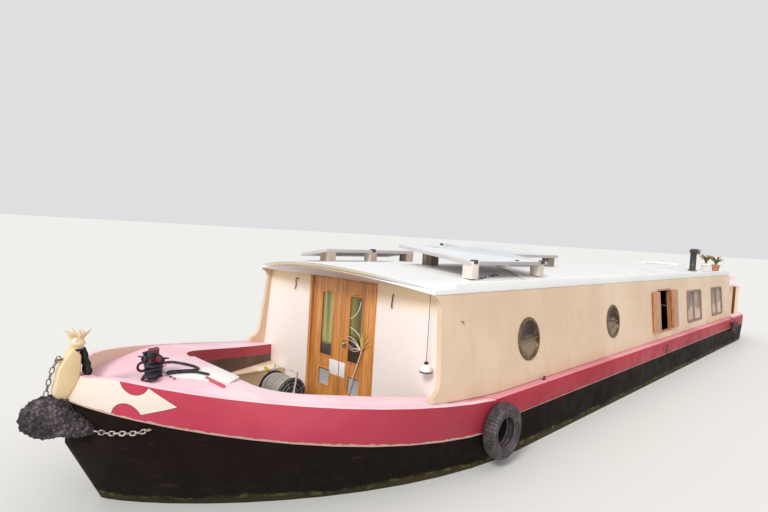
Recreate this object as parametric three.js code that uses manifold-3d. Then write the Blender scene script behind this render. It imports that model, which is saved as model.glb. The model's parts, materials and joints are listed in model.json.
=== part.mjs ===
// A steel wide-beam canal houseboat, in millimetres.
// X runs forward to the stem, Y to port and Z up from the underside of the flat baseplate.
// The origin is the middle of the baseplate's underside.
import * as THREE from "three";
import { mergeVertices } from "three/addons/utils/BufferGeometryUtils.js";
import Module from "manifold-3d";

const wasm = await Module();
wasm.setup();

// Driving dimensions

const GAP = 0.4; // kept between pieces that rest on each other
const HALF_BEAM = 1600;
const COUNTER_Z = 560; // flat plate over the propeller, just under the waterline
const GUNWALE_Z = 1220;
const BAND_FOOT_Z = 1000; // lower edge of the coloured band amidships
const BULKHEAD_X = 5030; // front face of the front bulkhead
const CABIN_END_X = -6370;
const CABIN_FLOOR_Z = 380;
const WELL_FLOOR_Z = 740;
const WALL = 50; // cabin side thickness
const BULKHEAD = 60; // bulkhead thickness
const BAND = 60; // thickness of the band, with the bulwark that it forms at the bow
const SIDE_FOOT_Y = 1480; // outer face of the cabin side at deck level
const SIDE_LEAN = Math.atan((1480 - 1357) / 1080); // tumblehome
const ROOF_HALF = 1362;
const ROOF_CROWN_Z = 2385;
const ROOF_CAMBER = 120;
const ROOF_THICK = 45;
const DECK_INNER_Y = 1380;
const BOW_DECK_Z = 1475; // level foredeck round the mooring stud

// The hull's outlines, from the baseplate up. Each is level amidships with rounded ends:
// x = start + length * sin(t) and y = half * cos(t) ** (2 * power), at the bow and at the stern.
const OUTLINES = {
  base: {
    half: 1500,
    bow: { start: 3430, length: 3700, power: 0.87 },
    stern: { start: -4300, length: 3000, power: 0.8 },
  },
  swim: {
    half: 1580,
    bow: { start: 3830, length: 3500, power: 0.83 },
    stern: { start: -4700, length: 2640, power: 0.8 },
  },
  counter: {
    half: 1580,
    bow: { start: 3830, length: 3500, power: 0.83 },
    stern: { start: -6900, length: 1170, power: 0.3 },
  },
  topside: {
    half: 1592,
    bow: { start: 4100, length: 3510, power: 0.75 },
    stern: { start: -6940, length: 1160, power: 0.3 },
  },
  bandFoot: {
    half: HALF_BEAM,
    bow: { start: 4330, length: 3285, power: 0.645 },
    stern: { start: -7000, length: 1120, power: 0.29 },
  },
  gunwale: {
    half: HALF_BEAM,
    bow: { start: 4330, length: 3200, power: 0.535 },
    stern: { start: -7000, length: 1120, power: 0.29 },
  },
};
const SHEER_START_X = 4130;
const SHOULDER_X = 4450; // where the deeper band of the bow begins
const BOW_STEPS = 14;
const STERN_STEPS = 9;

// The gunwale sweeps up to the bow, and dips just behind the stem post.
const gunwaleZ = (x) =>
  Math.min(
    GUNWALE_Z + 420 * (Math.max(0, x - SHEER_START_X) / 3430) ** 1.5,
    1617 - 0.5 * (x - 7450),
  );
const bandFootZ = (x) =>
  x < SHOULDER_X - 1 ? BAND_FOOT_Z : 930 + 490 * ((x - SHEER_START_X) / 3520) ** 1.8;
const topsideZ = (x) => COUNTER_Z + 0.62 * (bandFootZ(x) - COUNTER_Z);
const foredeckZ = (x) => Math.min(gunwaleZ(x), BOW_DECK_Z);
const ROOF_SEGMENTS = 16;
const roofZ = (y) => ROOF_CROWN_Z - ROOF_CAMBER * (y / ROOF_HALF) ** 2;
// Height of the roof's underside, along the flats between its bends.
function ceilingZ(y) {
  const step = (2 * ROOF_HALF) / ROOF_SEGMENTS;
  const bend = Math.floor(Math.abs(y) / step);
  const share = Math.abs(y) / step - bend;
  return roofZ(bend * step) * (1 - share) + roofZ((bend + 1) * step) * share - ROOF_THICK;
}
const roofFrontX = (y) => BULKHEAD_X + 330 - 200 * (y / ROOF_HALF) ** 2;

// Colours as painted, faded by the sun

const finish = (color, roughness, metalness = 0) => () =>
  new THREE.MeshStandardMaterial({ color, roughness, metalness });
const BLACKING = finish(0x1d1917, 0.75);
const CRIMSON = finish(0xb83a4e, 0.45);
const PINK = finish(0xe3a9b6, 0.6);
const CREAM = finish(0xe3cfae, 0.5);
const OFF_WHITE = finish(0xf1e6dc, 0.55);
const ROOF_WHITE = finish(0xf2f0ec, 0.6);
const OAK = finish(0xa8622d, 0.5);
const PLY = finish(0xc9a477, 0.7);
const BRONZE = finish(0x6b5238, 0.4, 0.8);
const STEEL = finish(0x9a9a98, 0.4, 0.9);
const IRON = finish(0x3a3634, 0.7, 0.6);
const ROPE = finish(0x26242a, 0.9);
const COIR = finish(0x4a4048, 0.95);
const TYRE = finish(0x1b1b1b, 0.9);
const PANEL = finish(0xc9d3dc, 0.25, 0.3);
const TIMBER = finish(0x8f7f6d, 0.85);
const TERRACOTTA = finish(0xb5603f, 0.8);
const ENGINE = finish(0x556357, 0.6, 0.4);
const HOSE = finish(0x77807c, 0.7);
const LAMP = finish(0xf4f2ee, 0.4);

// Joining and cutting closed shapes

function toSolid(geometry) {
  const bare = new THREE.BufferGeometry();
  const loose = geometry.index ? geometry.toNonIndexed() : geometry;
  bare.setAttribute("position", loose.getAttribute("position"));
  const merged = mergeVertices(bare, 1e-3);
  return new wasm.Manifold(
    new wasm.Mesh({
      numProp: 3,
      vertProperties: merged.attributes.position.array,
      triVerts: new Uint32Array(merged.index.array),
    }),
  );
}

function toGeometry(solid) {
  const mesh = solid.getMesh();
  const geometry = new THREE.BufferGeometry();
  geometry.setAttribute("position", new THREE.BufferAttribute(mesh.vertProperties, 3));
  geometry.setIndex(new THREE.BufferAttribute(mesh.triVerts, 1));
  return geometry.toNonIndexed();
}

const joined = (...shapes) => toGeometry(shapes.map(toSolid).reduce((a, b) => a.add(b)));
const cutBy = (shape, ...tools) =>
  toGeometry(tools.map(toSolid).reduce((a, b) => a.subtract(b), toSolid(shape)));

// What is left of a shape after a cut, without slivers on the far side of the cut.
const mainPiece = (shape) =>
  toGeometry(toSolid(shape).decompose().sort((a, b) => b.volume() - a.volume())[0]);

// Closed shapes that three.js has no class for

const fanCap = (n) => [...Array(n - 2)].map((_, i) => [0, i + 1, i + 2]);

// A cap between the two sides of a ring whose first and middle points lie on the centreline.
function pairCap(n) {
  const last = n / 2 - 1;
  const faces = [[0, 1, n - 1]];
  for (let i = 1; i < last; i++) {
    faces.push([i, i + 1, n - i - 1], [i, n - i - 1, n - i]);
  }
  faces.push([last, last + 1, last + 2]);
  return faces;
}

// The skin over rings with equal numbers of points, closed at both ends.
function skin(rings, cap = fanCap) {
  const n = rings[0].length;
  const top = (rings.length - 1) * n;
  const faces = [];
  for (let r = 0; r < rings.length - 1; r++) {
    for (let i = 0; i < n; i++) {
      const a = r * n + i;
      const b = r * n + ((i + 1) % n);
      faces.push(a, b, b + n, a, b + n, a + n);
    }
  }
  for (const [a, b, c] of cap(n)) {
    faces.push(c, b, a, top + a, top + b, top + c);
  }
  const points = rings.flat();
  let volume = 0;
  for (let f = 0; f < faces.length; f += 3) {
    const [a, b, c] = [points[faces[f]], points[faces[f + 1]], points[faces[f + 2]]];
    volume += a.dot(b.clone().cross(c));
  }
  if (volume < 0) faces.reverse();
  const geometry = new THREE.BufferGeometry();
  geometry.setAttribute(
    "position",
    new THREE.Float32BufferAttribute(points.flatMap((p) => p.toArray()), 3),
  );
  geometry.setIndex(faces);
  return geometry.toNonIndexed();
}

const v3 = (x, y, z) => new THREE.Vector3(x, y, z);

function box(x, y, z) {
  const size = [x[1] - x[0], y[1] - y[0], z[1] - z[0]];
  const geometry = new THREE.BoxGeometry(...size);
  return geometry.translate((x[0] + x[1]) / 2, (y[0] + y[1]) / 2, (z[0] + z[1]) / 2);
}

function polygon(points) {
  return new THREE.Shape(points.map(([x, y]) => new THREE.Vector2(x, y)));
}

// A shape in plan, raised between two heights.
function upright(shape, z0, z1, curveSegments = 6) {
  const options = { depth: z1 - z0, bevelEnabled: false, curveSegments };
  return new THREE.ExtrudeGeometry(shape, options).translate(0, 0, z0);
}

// A shape seen from ahead (Y across, Z up), extruded between two X.
function athwart(shape, x0, x1, curveSegments = 6) {
  const basis = new THREE.Matrix4().makeBasis(v3(0, 1, 0), v3(0, 0, 1), v3(1, 0, 0));
  const options = { depth: x1 - x0, bevelEnabled: false, curveSegments };
  return new THREE.ExtrudeGeometry(shape, options).applyMatrix4(basis).translate(x0, 0, 0);
}

// A shape seen from starboard (X across, Z up), centred on Y = 0.
function foreAndAft(shape, thickness, curveSegments = 6) {
  const basis = new THREE.Matrix4().makeBasis(v3(1, 0, 0), v3(0, 0, 1), v3(0, -1, 0));
  const options = { depth: thickness, bevelEnabled: false, curveSegments };
  const geometry = new THREE.ExtrudeGeometry(shape, options).applyMatrix4(basis);
  return geometry.translate(0, thickness / 2, 0);
}

function roundedRectangle(x0, x1, y0, y1, radius) {
  const shape = new THREE.Shape();
  shape.moveTo(x0 + radius, y0);
  shape.lineTo(x1 - radius, y0);
  shape.quadraticCurveTo(x1, y0, x1, y0 + radius);
  shape.lineTo(x1, y1 - radius);
  shape.quadraticCurveTo(x1, y1, x1 - radius, y1);
  shape.lineTo(x0 + radius, y1);
  shape.quadraticCurveTo(x0, y1, x0, y1 - radius);
  shape.lineTo(x0, y0 + radius);
  shape.quadraticCurveTo(x0, y0, x0 + radius, y0);
  return shape;
}

function withHoles(shape, ...holes) {
  shape.holes.push(...holes);
  return shape;
}

// A round bar along a smooth path.
function rod(points, radius, steps, sides = 8) {
  const section = new THREE.Shape();
  section.absarc(0, 0, radius, 0, 2 * Math.PI);
  const path = new THREE.CatmullRomCurve3(points.map((p) => v3(...p)), false, "centripetal");
  const corners = Math.round(sides / 2);
  const round = new THREE.Shape(section.getSpacedPoints(2 * corners).slice(0, -1));
  return new THREE.ExtrudeGeometry(round, { steps, bevelEnabled: false, extrudePath: path });
}

// A straight round bar between two points.
function bar(from, to, radius, sides = 12) {
  const [a, b] = [v3(...from), v3(...to)];
  const geometry = new THREE.CylinderGeometry(radius, radius, a.distanceTo(b), sides);
  const turn = new THREE.Quaternion().setFromUnitVectors(
    v3(0, 1, 0),
    b.clone().sub(a).normalize(),
  );
  return geometry.applyQuaternion(turn).translate(...a.add(b).multiplyScalar(0.5).toArray());
}

// A profile of radius and height pairs turned about an upright axis.
function turned(profile, segments = 24) {
  const points = profile.map(([r, h]) => new THREE.Vector2(r, h));
  return new THREE.LatheGeometry(points, segments).rotateX(Math.PI / 2);
}

const boat = new THREE.Group();

function add(name, geometry, material) {
  const mesh = new THREE.Mesh(geometry, material());
  mesh.name = name;
  boat.add(mesh);
  return mesh;
}

// Hull

// A point of an outline at the bow (turn 1 at the stem, 0 amidships) or stern, moved in by inset.
function outlinePoint(outline, end, turn, inset = 0) {
  const { start, length, power } = outline[end];
  const angle = (turn * Math.PI) / 2;
  const reach = (length - inset) * Math.sin(angle);
  const cosine = Math.max(0, Math.cos(angle));
  const y = turn === 1 ? 0 : (outline.half - inset) * cosine ** (2 * power);
  return [end === "bow" ? start + reach : start - reach, y];
}

// A whole outline as a ring from the stem along the port side to the stern and back.
function hullRing(outline, height, inset = 0) {
  const port = [];
  for (let i = 0; i <= BOW_STEPS; i++) {
    port.push(outlinePoint(outline, "bow", 1 - i / BOW_STEPS, inset));
  }
  for (let i = 0; i <= STERN_STEPS; i++) {
    port.push(outlinePoint(outline, "stern", i / STERN_STEPS, inset));
  }
  const starboard = port.slice(1, -1).reverse();
  return [
    ...port.map(([x, y]) => v3(x, y, height(x))),
    ...starboard.map(([x, y]) => v3(x, -y, height(x))),
  ];
}

const flat = (z) => () => z;

// The hull's outside form, up to the band, made larger by grow to cut what lies against it.
function hullForm(grow = 0) {
  const swim = skin(
    [
      hullRing(OUTLINES.base, flat(0 - grow), -grow),
      hullRing(OUTLINES.swim, flat(COUNTER_Z + 6), -grow),
    ],
    pairCap,
  );
  const upper = skin(
    [
      hullRing(OUTLINES.counter, flat(COUNTER_Z - grow), -grow),
      hullRing(OUTLINES.topside, topsideZ, -grow),
      hullRing(OUTLINES.bandFoot, (x) => bandFootZ(x) + grow, -grow),
    ],
    pairCap,
  );
  return joined(swim, upper);
}

// The well deck's outline in plan, made smaller by inset.
const WELL = { aft: BULKHEAD_X - BULKHEAD, aftHalf: 1285, front: 6430 };
const WELL_CORNER = { x: 6080, y: 915, frontY: 560 };
function wellOutline() {
  const { aft, aftHalf, front } = WELL;
  const { x, y, frontY } = WELL_CORNER;
  const shape = new THREE.Shape();
  shape.moveTo(aft, -aftHalf);
  shape.lineTo(x, -y);
  shape.quadraticCurveTo(front - 20, -y + 95, front, -frontY);
  shape.lineTo(front, frontY);
  shape.quadraticCurveTo(front - 20, y - 95, x, y);
  shape.lineTo(aft, aftHalf);
  return shape;
}
const wellWallY = (x) =>
  WELL.aftHalf +
  ((x - WELL.aft) * (WELL_CORNER.y - WELL.aftHalf)) / (WELL_CORNER.x - WELL.aft);

// The cabin inside the hull. Below the counter plate it narrows aft with the hull's swim.
const CABIN_BACK_X = CABIN_END_X + BULKHEAD;
const CABIN_HALF = 1440;
const SWIM_WALL = 120;
function cabinCavity(aftCorner) {
  const port = [
    [WELL.aft + 5, 1200],
    [3900, CABIN_HALF],
    ...aftCorner,
  ];
  return polygon([...port, ...port.map(([x, y]) => [x, -y]).reverse()]);
}
const swimHalf = (x) => {
  const { half, stern } = OUTLINES.swim;
  const reach = Math.max(0, stern.start - x) / stern.length;
  return half * (1 - reach * reach) ** stern.power;
};
const swimCorner = [-4700, -5200, -5600, -6000, CABIN_BACK_X].map((x) => [
  x,
  Math.min(CABIN_HALF, swimHalf(x) - SWIM_WALL),
]);

const SHAFT = { z: 300, x: -7355, radius: 24, bore: 24.9, depth: 90 };
const PROPELLER = { x: -7412, radius: 210, hub: 48, blades: 3 };
const STOCK = { x: -7650, radius: 28, clearance: 6 };
const SKEG = { half: 35, z: [30, 78], x: [-7800, -6900] };

function stockHole(z0, z1) {
  return bar([STOCK.x, 0, z0], [STOCK.x, 0, z1], STOCK.radius + STOCK.clearance, 16);
}

// The stem post stands on the stem, and the deck, band and hull are cut round it.
const STEM = {
  thick: 90,
  outline: [
    // x and z, up the curved front edge and down the back
    [7664, 1382],
    [7705, 1466],
    [7690, 1544],
    [7675, 1627],
    [7642, 1698],
    [7586, 1785],
    [7547, 1752],
    [7531, 1719],
    [7533, 1611],
    [7542, 1551],
    [7574, 1485],
    [7608, 1430],
    [7632, 1376],
  ],
};
function stemCutter(grow) {
  const shape = polygon(STEM.outline);
  const options = { depth: STEM.thick, bevelEnabled: grow > 0, bevelSize: grow };
  Object.assign(options, { bevelThickness: grow, bevelSegments: 1 });
  const basis = new THREE.Matrix4().makeBasis(v3(1, 0, 0), v3(0, 0, 1), v3(0, -1, 0));
  const geometry = new THREE.ExtrudeGeometry(shape, options).applyMatrix4(basis);
  return geometry.translate(0, STEM.thick / 2, 0);
}

const stockSocket = bar([STOCK.x, 0, SKEG.z[0] - 5], [STOCK.x, 0, 100], STOCK.radius + 0.9, 20);
const shaftBore = bar(
  [SHAFT.x + SHAFT.depth, 0, SHAFT.z],
  [SHAFT.x - 20, 0, SHAFT.z],
  SHAFT.bore,
  20,
);
const hull = cutBy(
  joined(
    hullForm(),
    box(SKEG.x, [-SKEG.half, SKEG.half], SKEG.z),
    box([SKEG.x[0], SKEG.x[0] + 300], [-50, 50], SKEG.z),
    bar([SKEG.x[1], 0, SHAFT.z], [SHAFT.x, 0, SHAFT.z], SHAFT.radius + 22, 16),
  ),
  upright(cabinCavity(swimCorner), CABIN_FLOOR_Z, COUNTER_Z + 60),
  upright(cabinCavity([[CABIN_BACK_X, CABIN_HALF]]), COUNTER_Z + 46, 1500),
  upright(wellOutline(), WELL_FLOOR_Z, 1600),
  stockHole(COUNTER_Z - 40, 1100),
  stockSocket,
  shaftBore,
  stemCutter(0.5),
);
add("hull_shell", hull, BLACKING);

const aroundHull = hullForm(GAP);

// Band round the gunwale: a wall whose section is swept round the hull.
function bandSection(end, turn, proud, grow = 0) {
  const [footX, footY] = outlinePoint(OUTLINES.bandFoot, end, turn, -proud);
  const [topX, topY] = outlinePoint(OUTLINES.gunwale, end, turn, -proud);
  const [inFootX, inFootY] = outlinePoint(OUTLINES.bandFoot, end, turn, BAND + grow);
  const [inTopX, inTopY] = outlinePoint(OUTLINES.gunwale, end, turn, BAND + grow);
  return [
    v3(footX, footY, bandFootZ(footX) - grow),
    v3(topX, topY, gunwaleZ(topX) + grow),
    v3(inTopX, inTopY, gunwaleZ(topX) + grow),
    v3(inFootX, inFootY, bandFootZ(footX) - grow),
  ];
}

const mirrored = (sections) =>
  sections
    .slice(0, -1)
    .reverse()
    .map((ring) => ring.map((p) => v3(p.x, -p.y, p.z)));

const { start: bowStart, length: bowLength } = OUTLINES.bandFoot.bow;
const shoulderTurn = (Math.asin((SHOULDER_X - bowStart) / bowLength) * 2) / Math.PI;
const BOW_PROUD = 14; // how far the bow's band stands out from the rest
function bowBand(grow, outward = 0) {
  const sections = [...Array(BOW_STEPS + 1)].map((_, i) => {
    const turn = shoulderTurn + (1 - shoulderTurn) * (i / BOW_STEPS);
    return bandSection("bow", turn, BOW_PROUD + outward, grow);
  });
  return skin([...sections, ...mirrored(sections)]);
}
function sideBand(grow) {
  const shoulder = bandSection("bow", shoulderTurn - 0.0005, 0, grow);
  shoulder.forEach((p) => (p.x += 20 * grow - GAP));
  const sections = [...Array(STERN_STEPS + 1)].map((_, i) =>
    bandSection("stern", i / STERN_STEPS, 0, grow),
  );
  const otherShoulder = shoulder.map((p) => v3(p.x, -p.y, p.z));
  return skin([shoulder, ...sections, ...mirrored(sections), otherShoulder]);
}
const aroundBand = joined(bowBand(GAP), sideBand(GAP));

add("bow_band", cutBy(bowBand(0), aroundHull, stemCutter(0.5)), CRIMSON);
add("gunwale_band", cutBy(sideBand(0), aroundHull), CRIMSON);

// Decks lie inside the band, as deep as it is.
function foredeckRing(outline, height, inset) {
  const reach = (BULKHEAD_X + GAP - outline.bow.start) / (outline.bow.length - inset);
  const first = (Math.asin(reach) * 2) / Math.PI;
  const port = [];
  for (let i = 0; i <= BOW_STEPS; i++) {
    port.push(outlinePoint(outline, "bow", 1 - (1 - first) * (i / BOW_STEPS), inset));
  }
  const ring = port.map(([x, y]) => v3(x, y, height(x)));
  ring.push(v3(BULKHEAD_X + GAP, 0, height(BULKHEAD_X)));
  return [...ring, ...port.slice(1).reverse().map(([x, y]) => v3(x, -y, height(x)))];
}
const deckInset = BAND - 8; // the decks are then cut back to the band's inner face
const foredeck = skin(
  [
    foredeckRing(OUTLINES.bandFoot, (x) => bandFootZ(x) + GAP, deckInset),
    foredeckRing(OUTLINES.gunwale, foredeckZ, deckInset),
  ],
  pairCap,
);
const wellOpening = upright(wellOutline(), 700, 1700);
add("foredeck", cutBy(foredeck, wellOpening, aroundHull, aroundBand, stemCutter(0.5)), PINK);

const halfAt = (outline, x) => {
  const reach = Math.max(0, x - outline.bow.start) / outline.bow.length;
  return outline.half * (1 - reach * reach) ** outline.bow.power;
};
function sideDeck(side) {
  const bends = [SHEER_START_X, 4330, SHOULDER_X - 2, SHOULDER_X, 4700];
  const xs = [CABIN_BACK_X + GAP, ...bends, BULKHEAD_X];
  return skin(
    xs.map((x) => {
      const footY = halfAt(OUTLINES.bandFoot, x) - deckInset;
      const topY = halfAt(OUTLINES.gunwale, x) - deckInset;
      return [
        v3(x, side * DECK_INNER_Y, bandFootZ(x) + GAP),
        v3(x, side * footY, bandFootZ(x) + GAP),
        v3(x, side * topY, gunwaleZ(x)),
        v3(x, side * DECK_INNER_Y, gunwaleZ(x)),
      ];
    }),
  );
}
const SIDES = [
  { name: "port", side: 1 },
  { name: "starboard", side: -1 },
];
for (const { name, side } of SIDES) {
  add("side_deck_" + name, mainPiece(cutBy(sideDeck(side), aroundHull, aroundBand)), PINK);
}

function sternDeckRing(height, inset) {
  const port = [[CABIN_BACK_X, HALF_BEAM - inset]];
  for (let i = 0; i <= STERN_STEPS; i++) {
    port.push(outlinePoint(OUTLINES.gunwale, "stern", i / STERN_STEPS, inset));
  }
  return [
    v3(CABIN_BACK_X, 0, height),
    ...port.map(([x, y]) => v3(x, y, height)),
    ...port.slice(0, -1).reverse().map(([x, y]) => v3(x, -y, height)),
  ];
}
const sternDeck = skin(
  [sternDeckRing(BAND_FOOT_Z + GAP, deckInset), sternDeckRing(GUNWALE_Z, deckInset)],
  pairCap,
);
add("stern_deck", cutBy(sternDeck, aroundHull, aroundBand, stockHole(900, 1300)), PINK);

// Bow fittings

add("stem_post", stemCutter(0), CREAM);

// A leafy finial on the post's top: a knob with prongs that fan out fore and aft.
const FINIAL = { x: 7560, z: 1848, knob: 46, prong: 120, count: 7 };
function finial() {
  const { x, z, knob, prong, count } = FINIAL;
  const foot = bar([x - 4, 0, 1752], [x - 4, 0, z], 26, 10);
  const prongs = [...Array(count)].map((_, i) => {
    const angle = Math.PI * (i / (count - 1));
    const geometry = new THREE.ConeGeometry(17, prong, 6).translate(0, prong / 2, 0);
    geometry.rotateX(Math.PI / 2).rotateY(angle - Math.PI / 2);
    return geometry.translate(x, 0, z + 12);
  });
  const head = new THREE.SphereGeometry(knob, 12, 8).translate(x, 0, z);
  return cutBy(joined(head, foot, ...prongs), stemCutter(0.5));
}
add("stem_finial", finial(), CREAM);

// The rope button fender wraps the stem, with an arm along each bow.
const BUTTON = { x: 7705, z: 1300, radii: [200, 175, 152] };
const FENDER_ARM = [
  // x, y, z, radius
  [7700, 90, 1300, 120],
  [7615, 165, 1280, 94],
  [7550, 225, 1256, 66],
  [7500, 275, 1236, 34],
];
function fenderArm(side, grow) {
  return skin(
    FENDER_ARM.map(([x, y, z, radius], i) => {
      const [px, py] = FENDER_ARM[Math.max(0, i - 1)];
      const [nx, ny] = FENDER_ARM[Math.min(FENDER_ARM.length - 1, i + 1)];
      const across = v3(-(ny - py), nx - px, 0).normalize();
      return [...Array(12)].map((_, k) => {
        const angle = (k * Math.PI) / 6;
        const out = across.clone().multiplyScalar((radius + grow) * Math.cos(angle));
        return v3(x + out.x, side * (y + out.y), z + (radius + grow) * Math.sin(angle));
      });
    }),
  );
}
function fenderForm(grow) {
  const { x, z, radii } = BUTTON;
  const button = new THREE.SphereGeometry(1, 20, 14).rotateX(Math.PI / 2);
  button.scale(...radii.map((radius) => radius + grow)).translate(x, 0, z);
  return joined(button, fenderArm(1, grow), fenderArm(-1, grow));
}
function bandForm(grow) {
  const rings = [
    hullRing(OUTLINES.bandFoot, (x) => bandFootZ(x) - grow, -BOW_PROUD - grow),
    hullRing(OUTLINES.gunwale, (x) => gunwaleZ(x) + grow, -BOW_PROUD - grow),
  ];
  return joined(skin(rings, pairCap), bowBand(grow, grow));
}
const bowFender = cutBy(fenderForm(0), hullForm(0.5), bandForm(0.5), stemCutter(0.5));
add("bow_fender", bowFender, COIR);

// Chains of welded links hold the fender: one up to the stem post, and one along each bow.
// The pitch lets each link press into the next, so that a chain is one body.
const LINK = { pitch: 39.5, ring: 14, bar: 4.6, stretch: 9 };
function chain(points) {
  const path = new THREE.CatmullRomCurve3(points.map((p) => v3(...p)));
  const count = Math.round(path.getLength() / LINK.pitch);
  const links = [...Array(count)].map((_, i) => {
    const ring = new THREE.TorusGeometry(LINK.ring, LINK.bar, 5, 10);
    const places = ring.attributes.position;
    for (let k = 0; k < places.count; k++) {
      places.setX(k, places.getX(k) + Math.sign(places.getX(k)) * LINK.stretch);
    }
    const at = (i + 0.5) / count;
    const along = path.getTangentAt(at);
    const across = along.clone().cross(v3(0.3, 0.1, 1)).normalize();
    const basis = new THREE.Matrix4().makeBasis(along, across, along.clone().cross(across));
    ring.rotateX(i % 2 ? Math.PI / 4 : -Math.PI / 4).applyMatrix4(basis);
    return ring.translate(...path.getPointAt(at).toArray());
  });
  return joined(...links);
}
// A point on the bow's side below the band, moved out by some way, at a given X and Z.
function sidePoint(x, z, out) {
  const half = (at) => {
    const share = (z - topsideZ(at)) / (bandFootZ(at) - topsideZ(at));
    const { topside, bandFoot } = OUTLINES;
    return halfAt(topside, at) * (1 - share) + halfAt(bandFoot, at) * share;
  };
  const normal = v3(half(x - 1) - half(x + 1), 2, 0).normalize();
  return [x + out * normal.x, half(x) + out * normal.y, z];
}
const STEM_CHAIN = [
  [7662, 0, 1722],
  [7702, 0, 1640],
  [7722, 0, 1560],
  [7742, 0, 1446],
];
const SIDE_CHAIN = [
  // X, Z and the distance out from the hull
  [7530, 1248, 20],
  [7488, 1234, 20],
  [7430, 1228, 20],
  [7360, 1238, 20],
  [7290, 1252, 20],
  [7234, 1288, 24],
];
const stemEye = bar([7580, 0, 1700], [7684, 0, 1700], 8, 8);
const stemChain = cutBy(
  joined(chain(STEM_CHAIN), stemEye),
  stemCutter(0.5),
  bandForm(0.5),
  fenderForm(0.5),
);
add("stem_chain", mainPiece(stemChain), STEEL);
const sideEye = bar(sidePoint(7230, 1299, -20), sidePoint(7230, 1299, 32), 7, 8);
const sideChain = mainPiece(
  cutBy(
    joined(chain(SIDE_CHAIN.map(([x, z, out]) => sidePoint(x, z, out))), sideEye),
    hullForm(0.5),
    bandForm(0.5),
    fenderForm(0.5),
  ),
);
add("fender_chain_port", sideChain, STEEL);
add("fender_chain_starboard", toGeometry(toSolid(sideChain).mirror([0, 1, 0])), STEEL);

// A rope lashing round the post's neck, with its hank hanging behind the post.
const LASHING = { neckZ: 1722, radius: 9, spread: [54, 56] };
const HANK = [
  // x, z, half width
  [7512, 1738, 12],
  [7510, 1720, 20],
  [7478, 1680, 27],
  [7452, 1614, 38],
  [7440, 1570, 30],
  [7442, 1540, 12],
];
function lashing() {
  const { neckZ, radius, spread } = LASHING;
  const middle = 7578;
  const loop = [...Array(8)].map((_, i) => {
    const angle = (i * Math.PI) / 4;
    const swell = i % 2 ? 1.12 : 1;
    return v3(
      middle + swell * spread[0] * Math.cos(angle),
      swell * spread[1] * Math.sin(angle),
      neckZ,
    );
  });
  const path = new THREE.CatmullRomCurve3(loop, true);
  const hank = skin(
    HANK.map(([x, z, half]) =>
      [...Array(10)].map((_, i) => {
        const angle = (i * Math.PI) / 5;
        return v3(x + 0.7 * half * Math.cos(angle), half * Math.sin(angle), z);
      }),
    ),
  );
  return cutBy(
    joined(new THREE.TubeGeometry(path, 24, radius, 6, true), hank),
    stemCutter(0.5),
  );
}
add("stem_lashing", lashing(), ROPE);

// Mooring stud with a crossbar, and the rope made fast on it.
const STUD = { x: 7000, post: 42, top: 1702, barZ: 1640, barHalf: 112, bar: 22 };
const stud = joined(
  bar([STUD.x, 0, BOW_DECK_Z + GAP], [STUD.x, 0, STUD.top], STUD.post, 20),
  bar([STUD.x, -STUD.barHalf, STUD.barZ], [STUD.x, STUD.barHalf, STUD.barZ], STUD.bar, 12),
  bar([STUD.x, 0, BOW_DECK_Z + GAP], [STUD.x, 0, BOW_DECK_Z + 10], 75, 20),
);
add("mooring_stud", stud, CRIMSON);
const studCoil = turned(
  [
    [STUD.post + 1, 0],
    [84, 0],
    [90, 30],
    [80, 95],
    [62, 130],
    [STUD.post + 1, 130],
    [STUD.post + 1, 0],
  ],
  20,
).translate(STUD.x, 0, BOW_DECK_Z + 11);
add("stud_rope_turns", studCoil, ROPE);

// The end of the stud's rope lies in folds over the deck plate.
const TAIL = { radius: 11, z: BOW_DECK_Z + GAP + 10 + GAP + 11 };
const TAIL_ROUTE = [
  [6931.6, -56.3],
  [6912, -72],
  [6880, -124],
  [6858, -200],
  [6796, -276],
  [6728, -276],
  [6680, -200],
  [6645, -100],
  [6630, -15],
  [6640, 48],
  [6690, 62],
  [6746, 42],
  [6806, 22],
  [6862, 10],
  [6890, 26],
  [6876, 52],
  [6820, 60],
  [6760, 84],
  [6710, 112],
  [6680, 155],
  [6662, 205],
  [6649, 248],
];
add(
  "stud_rope_tail",
  rod(TAIL_ROUTE.map(([x, y]) => [x, y, TAIL.z]), TAIL.radius, 64, 8),
  ROPE,
);

// White plate let into the foredeck, with its tips to port and starboard.
const DECK_PLATE = {
  thick: 10,
  outline: [[6455, -400], [6455, 400], [6600, 500], [6880, 110], [6880, -110], [6600, -500]],
};
const deckPlate = upright(
  polygon(DECK_PLATE.outline),
  BOW_DECK_Z + GAP,
  BOW_DECK_Z + GAP + DECK_PLATE.thick,
);
add("foredeck_plate", deckPlate, OFF_WHITE);

// Well deck

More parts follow.
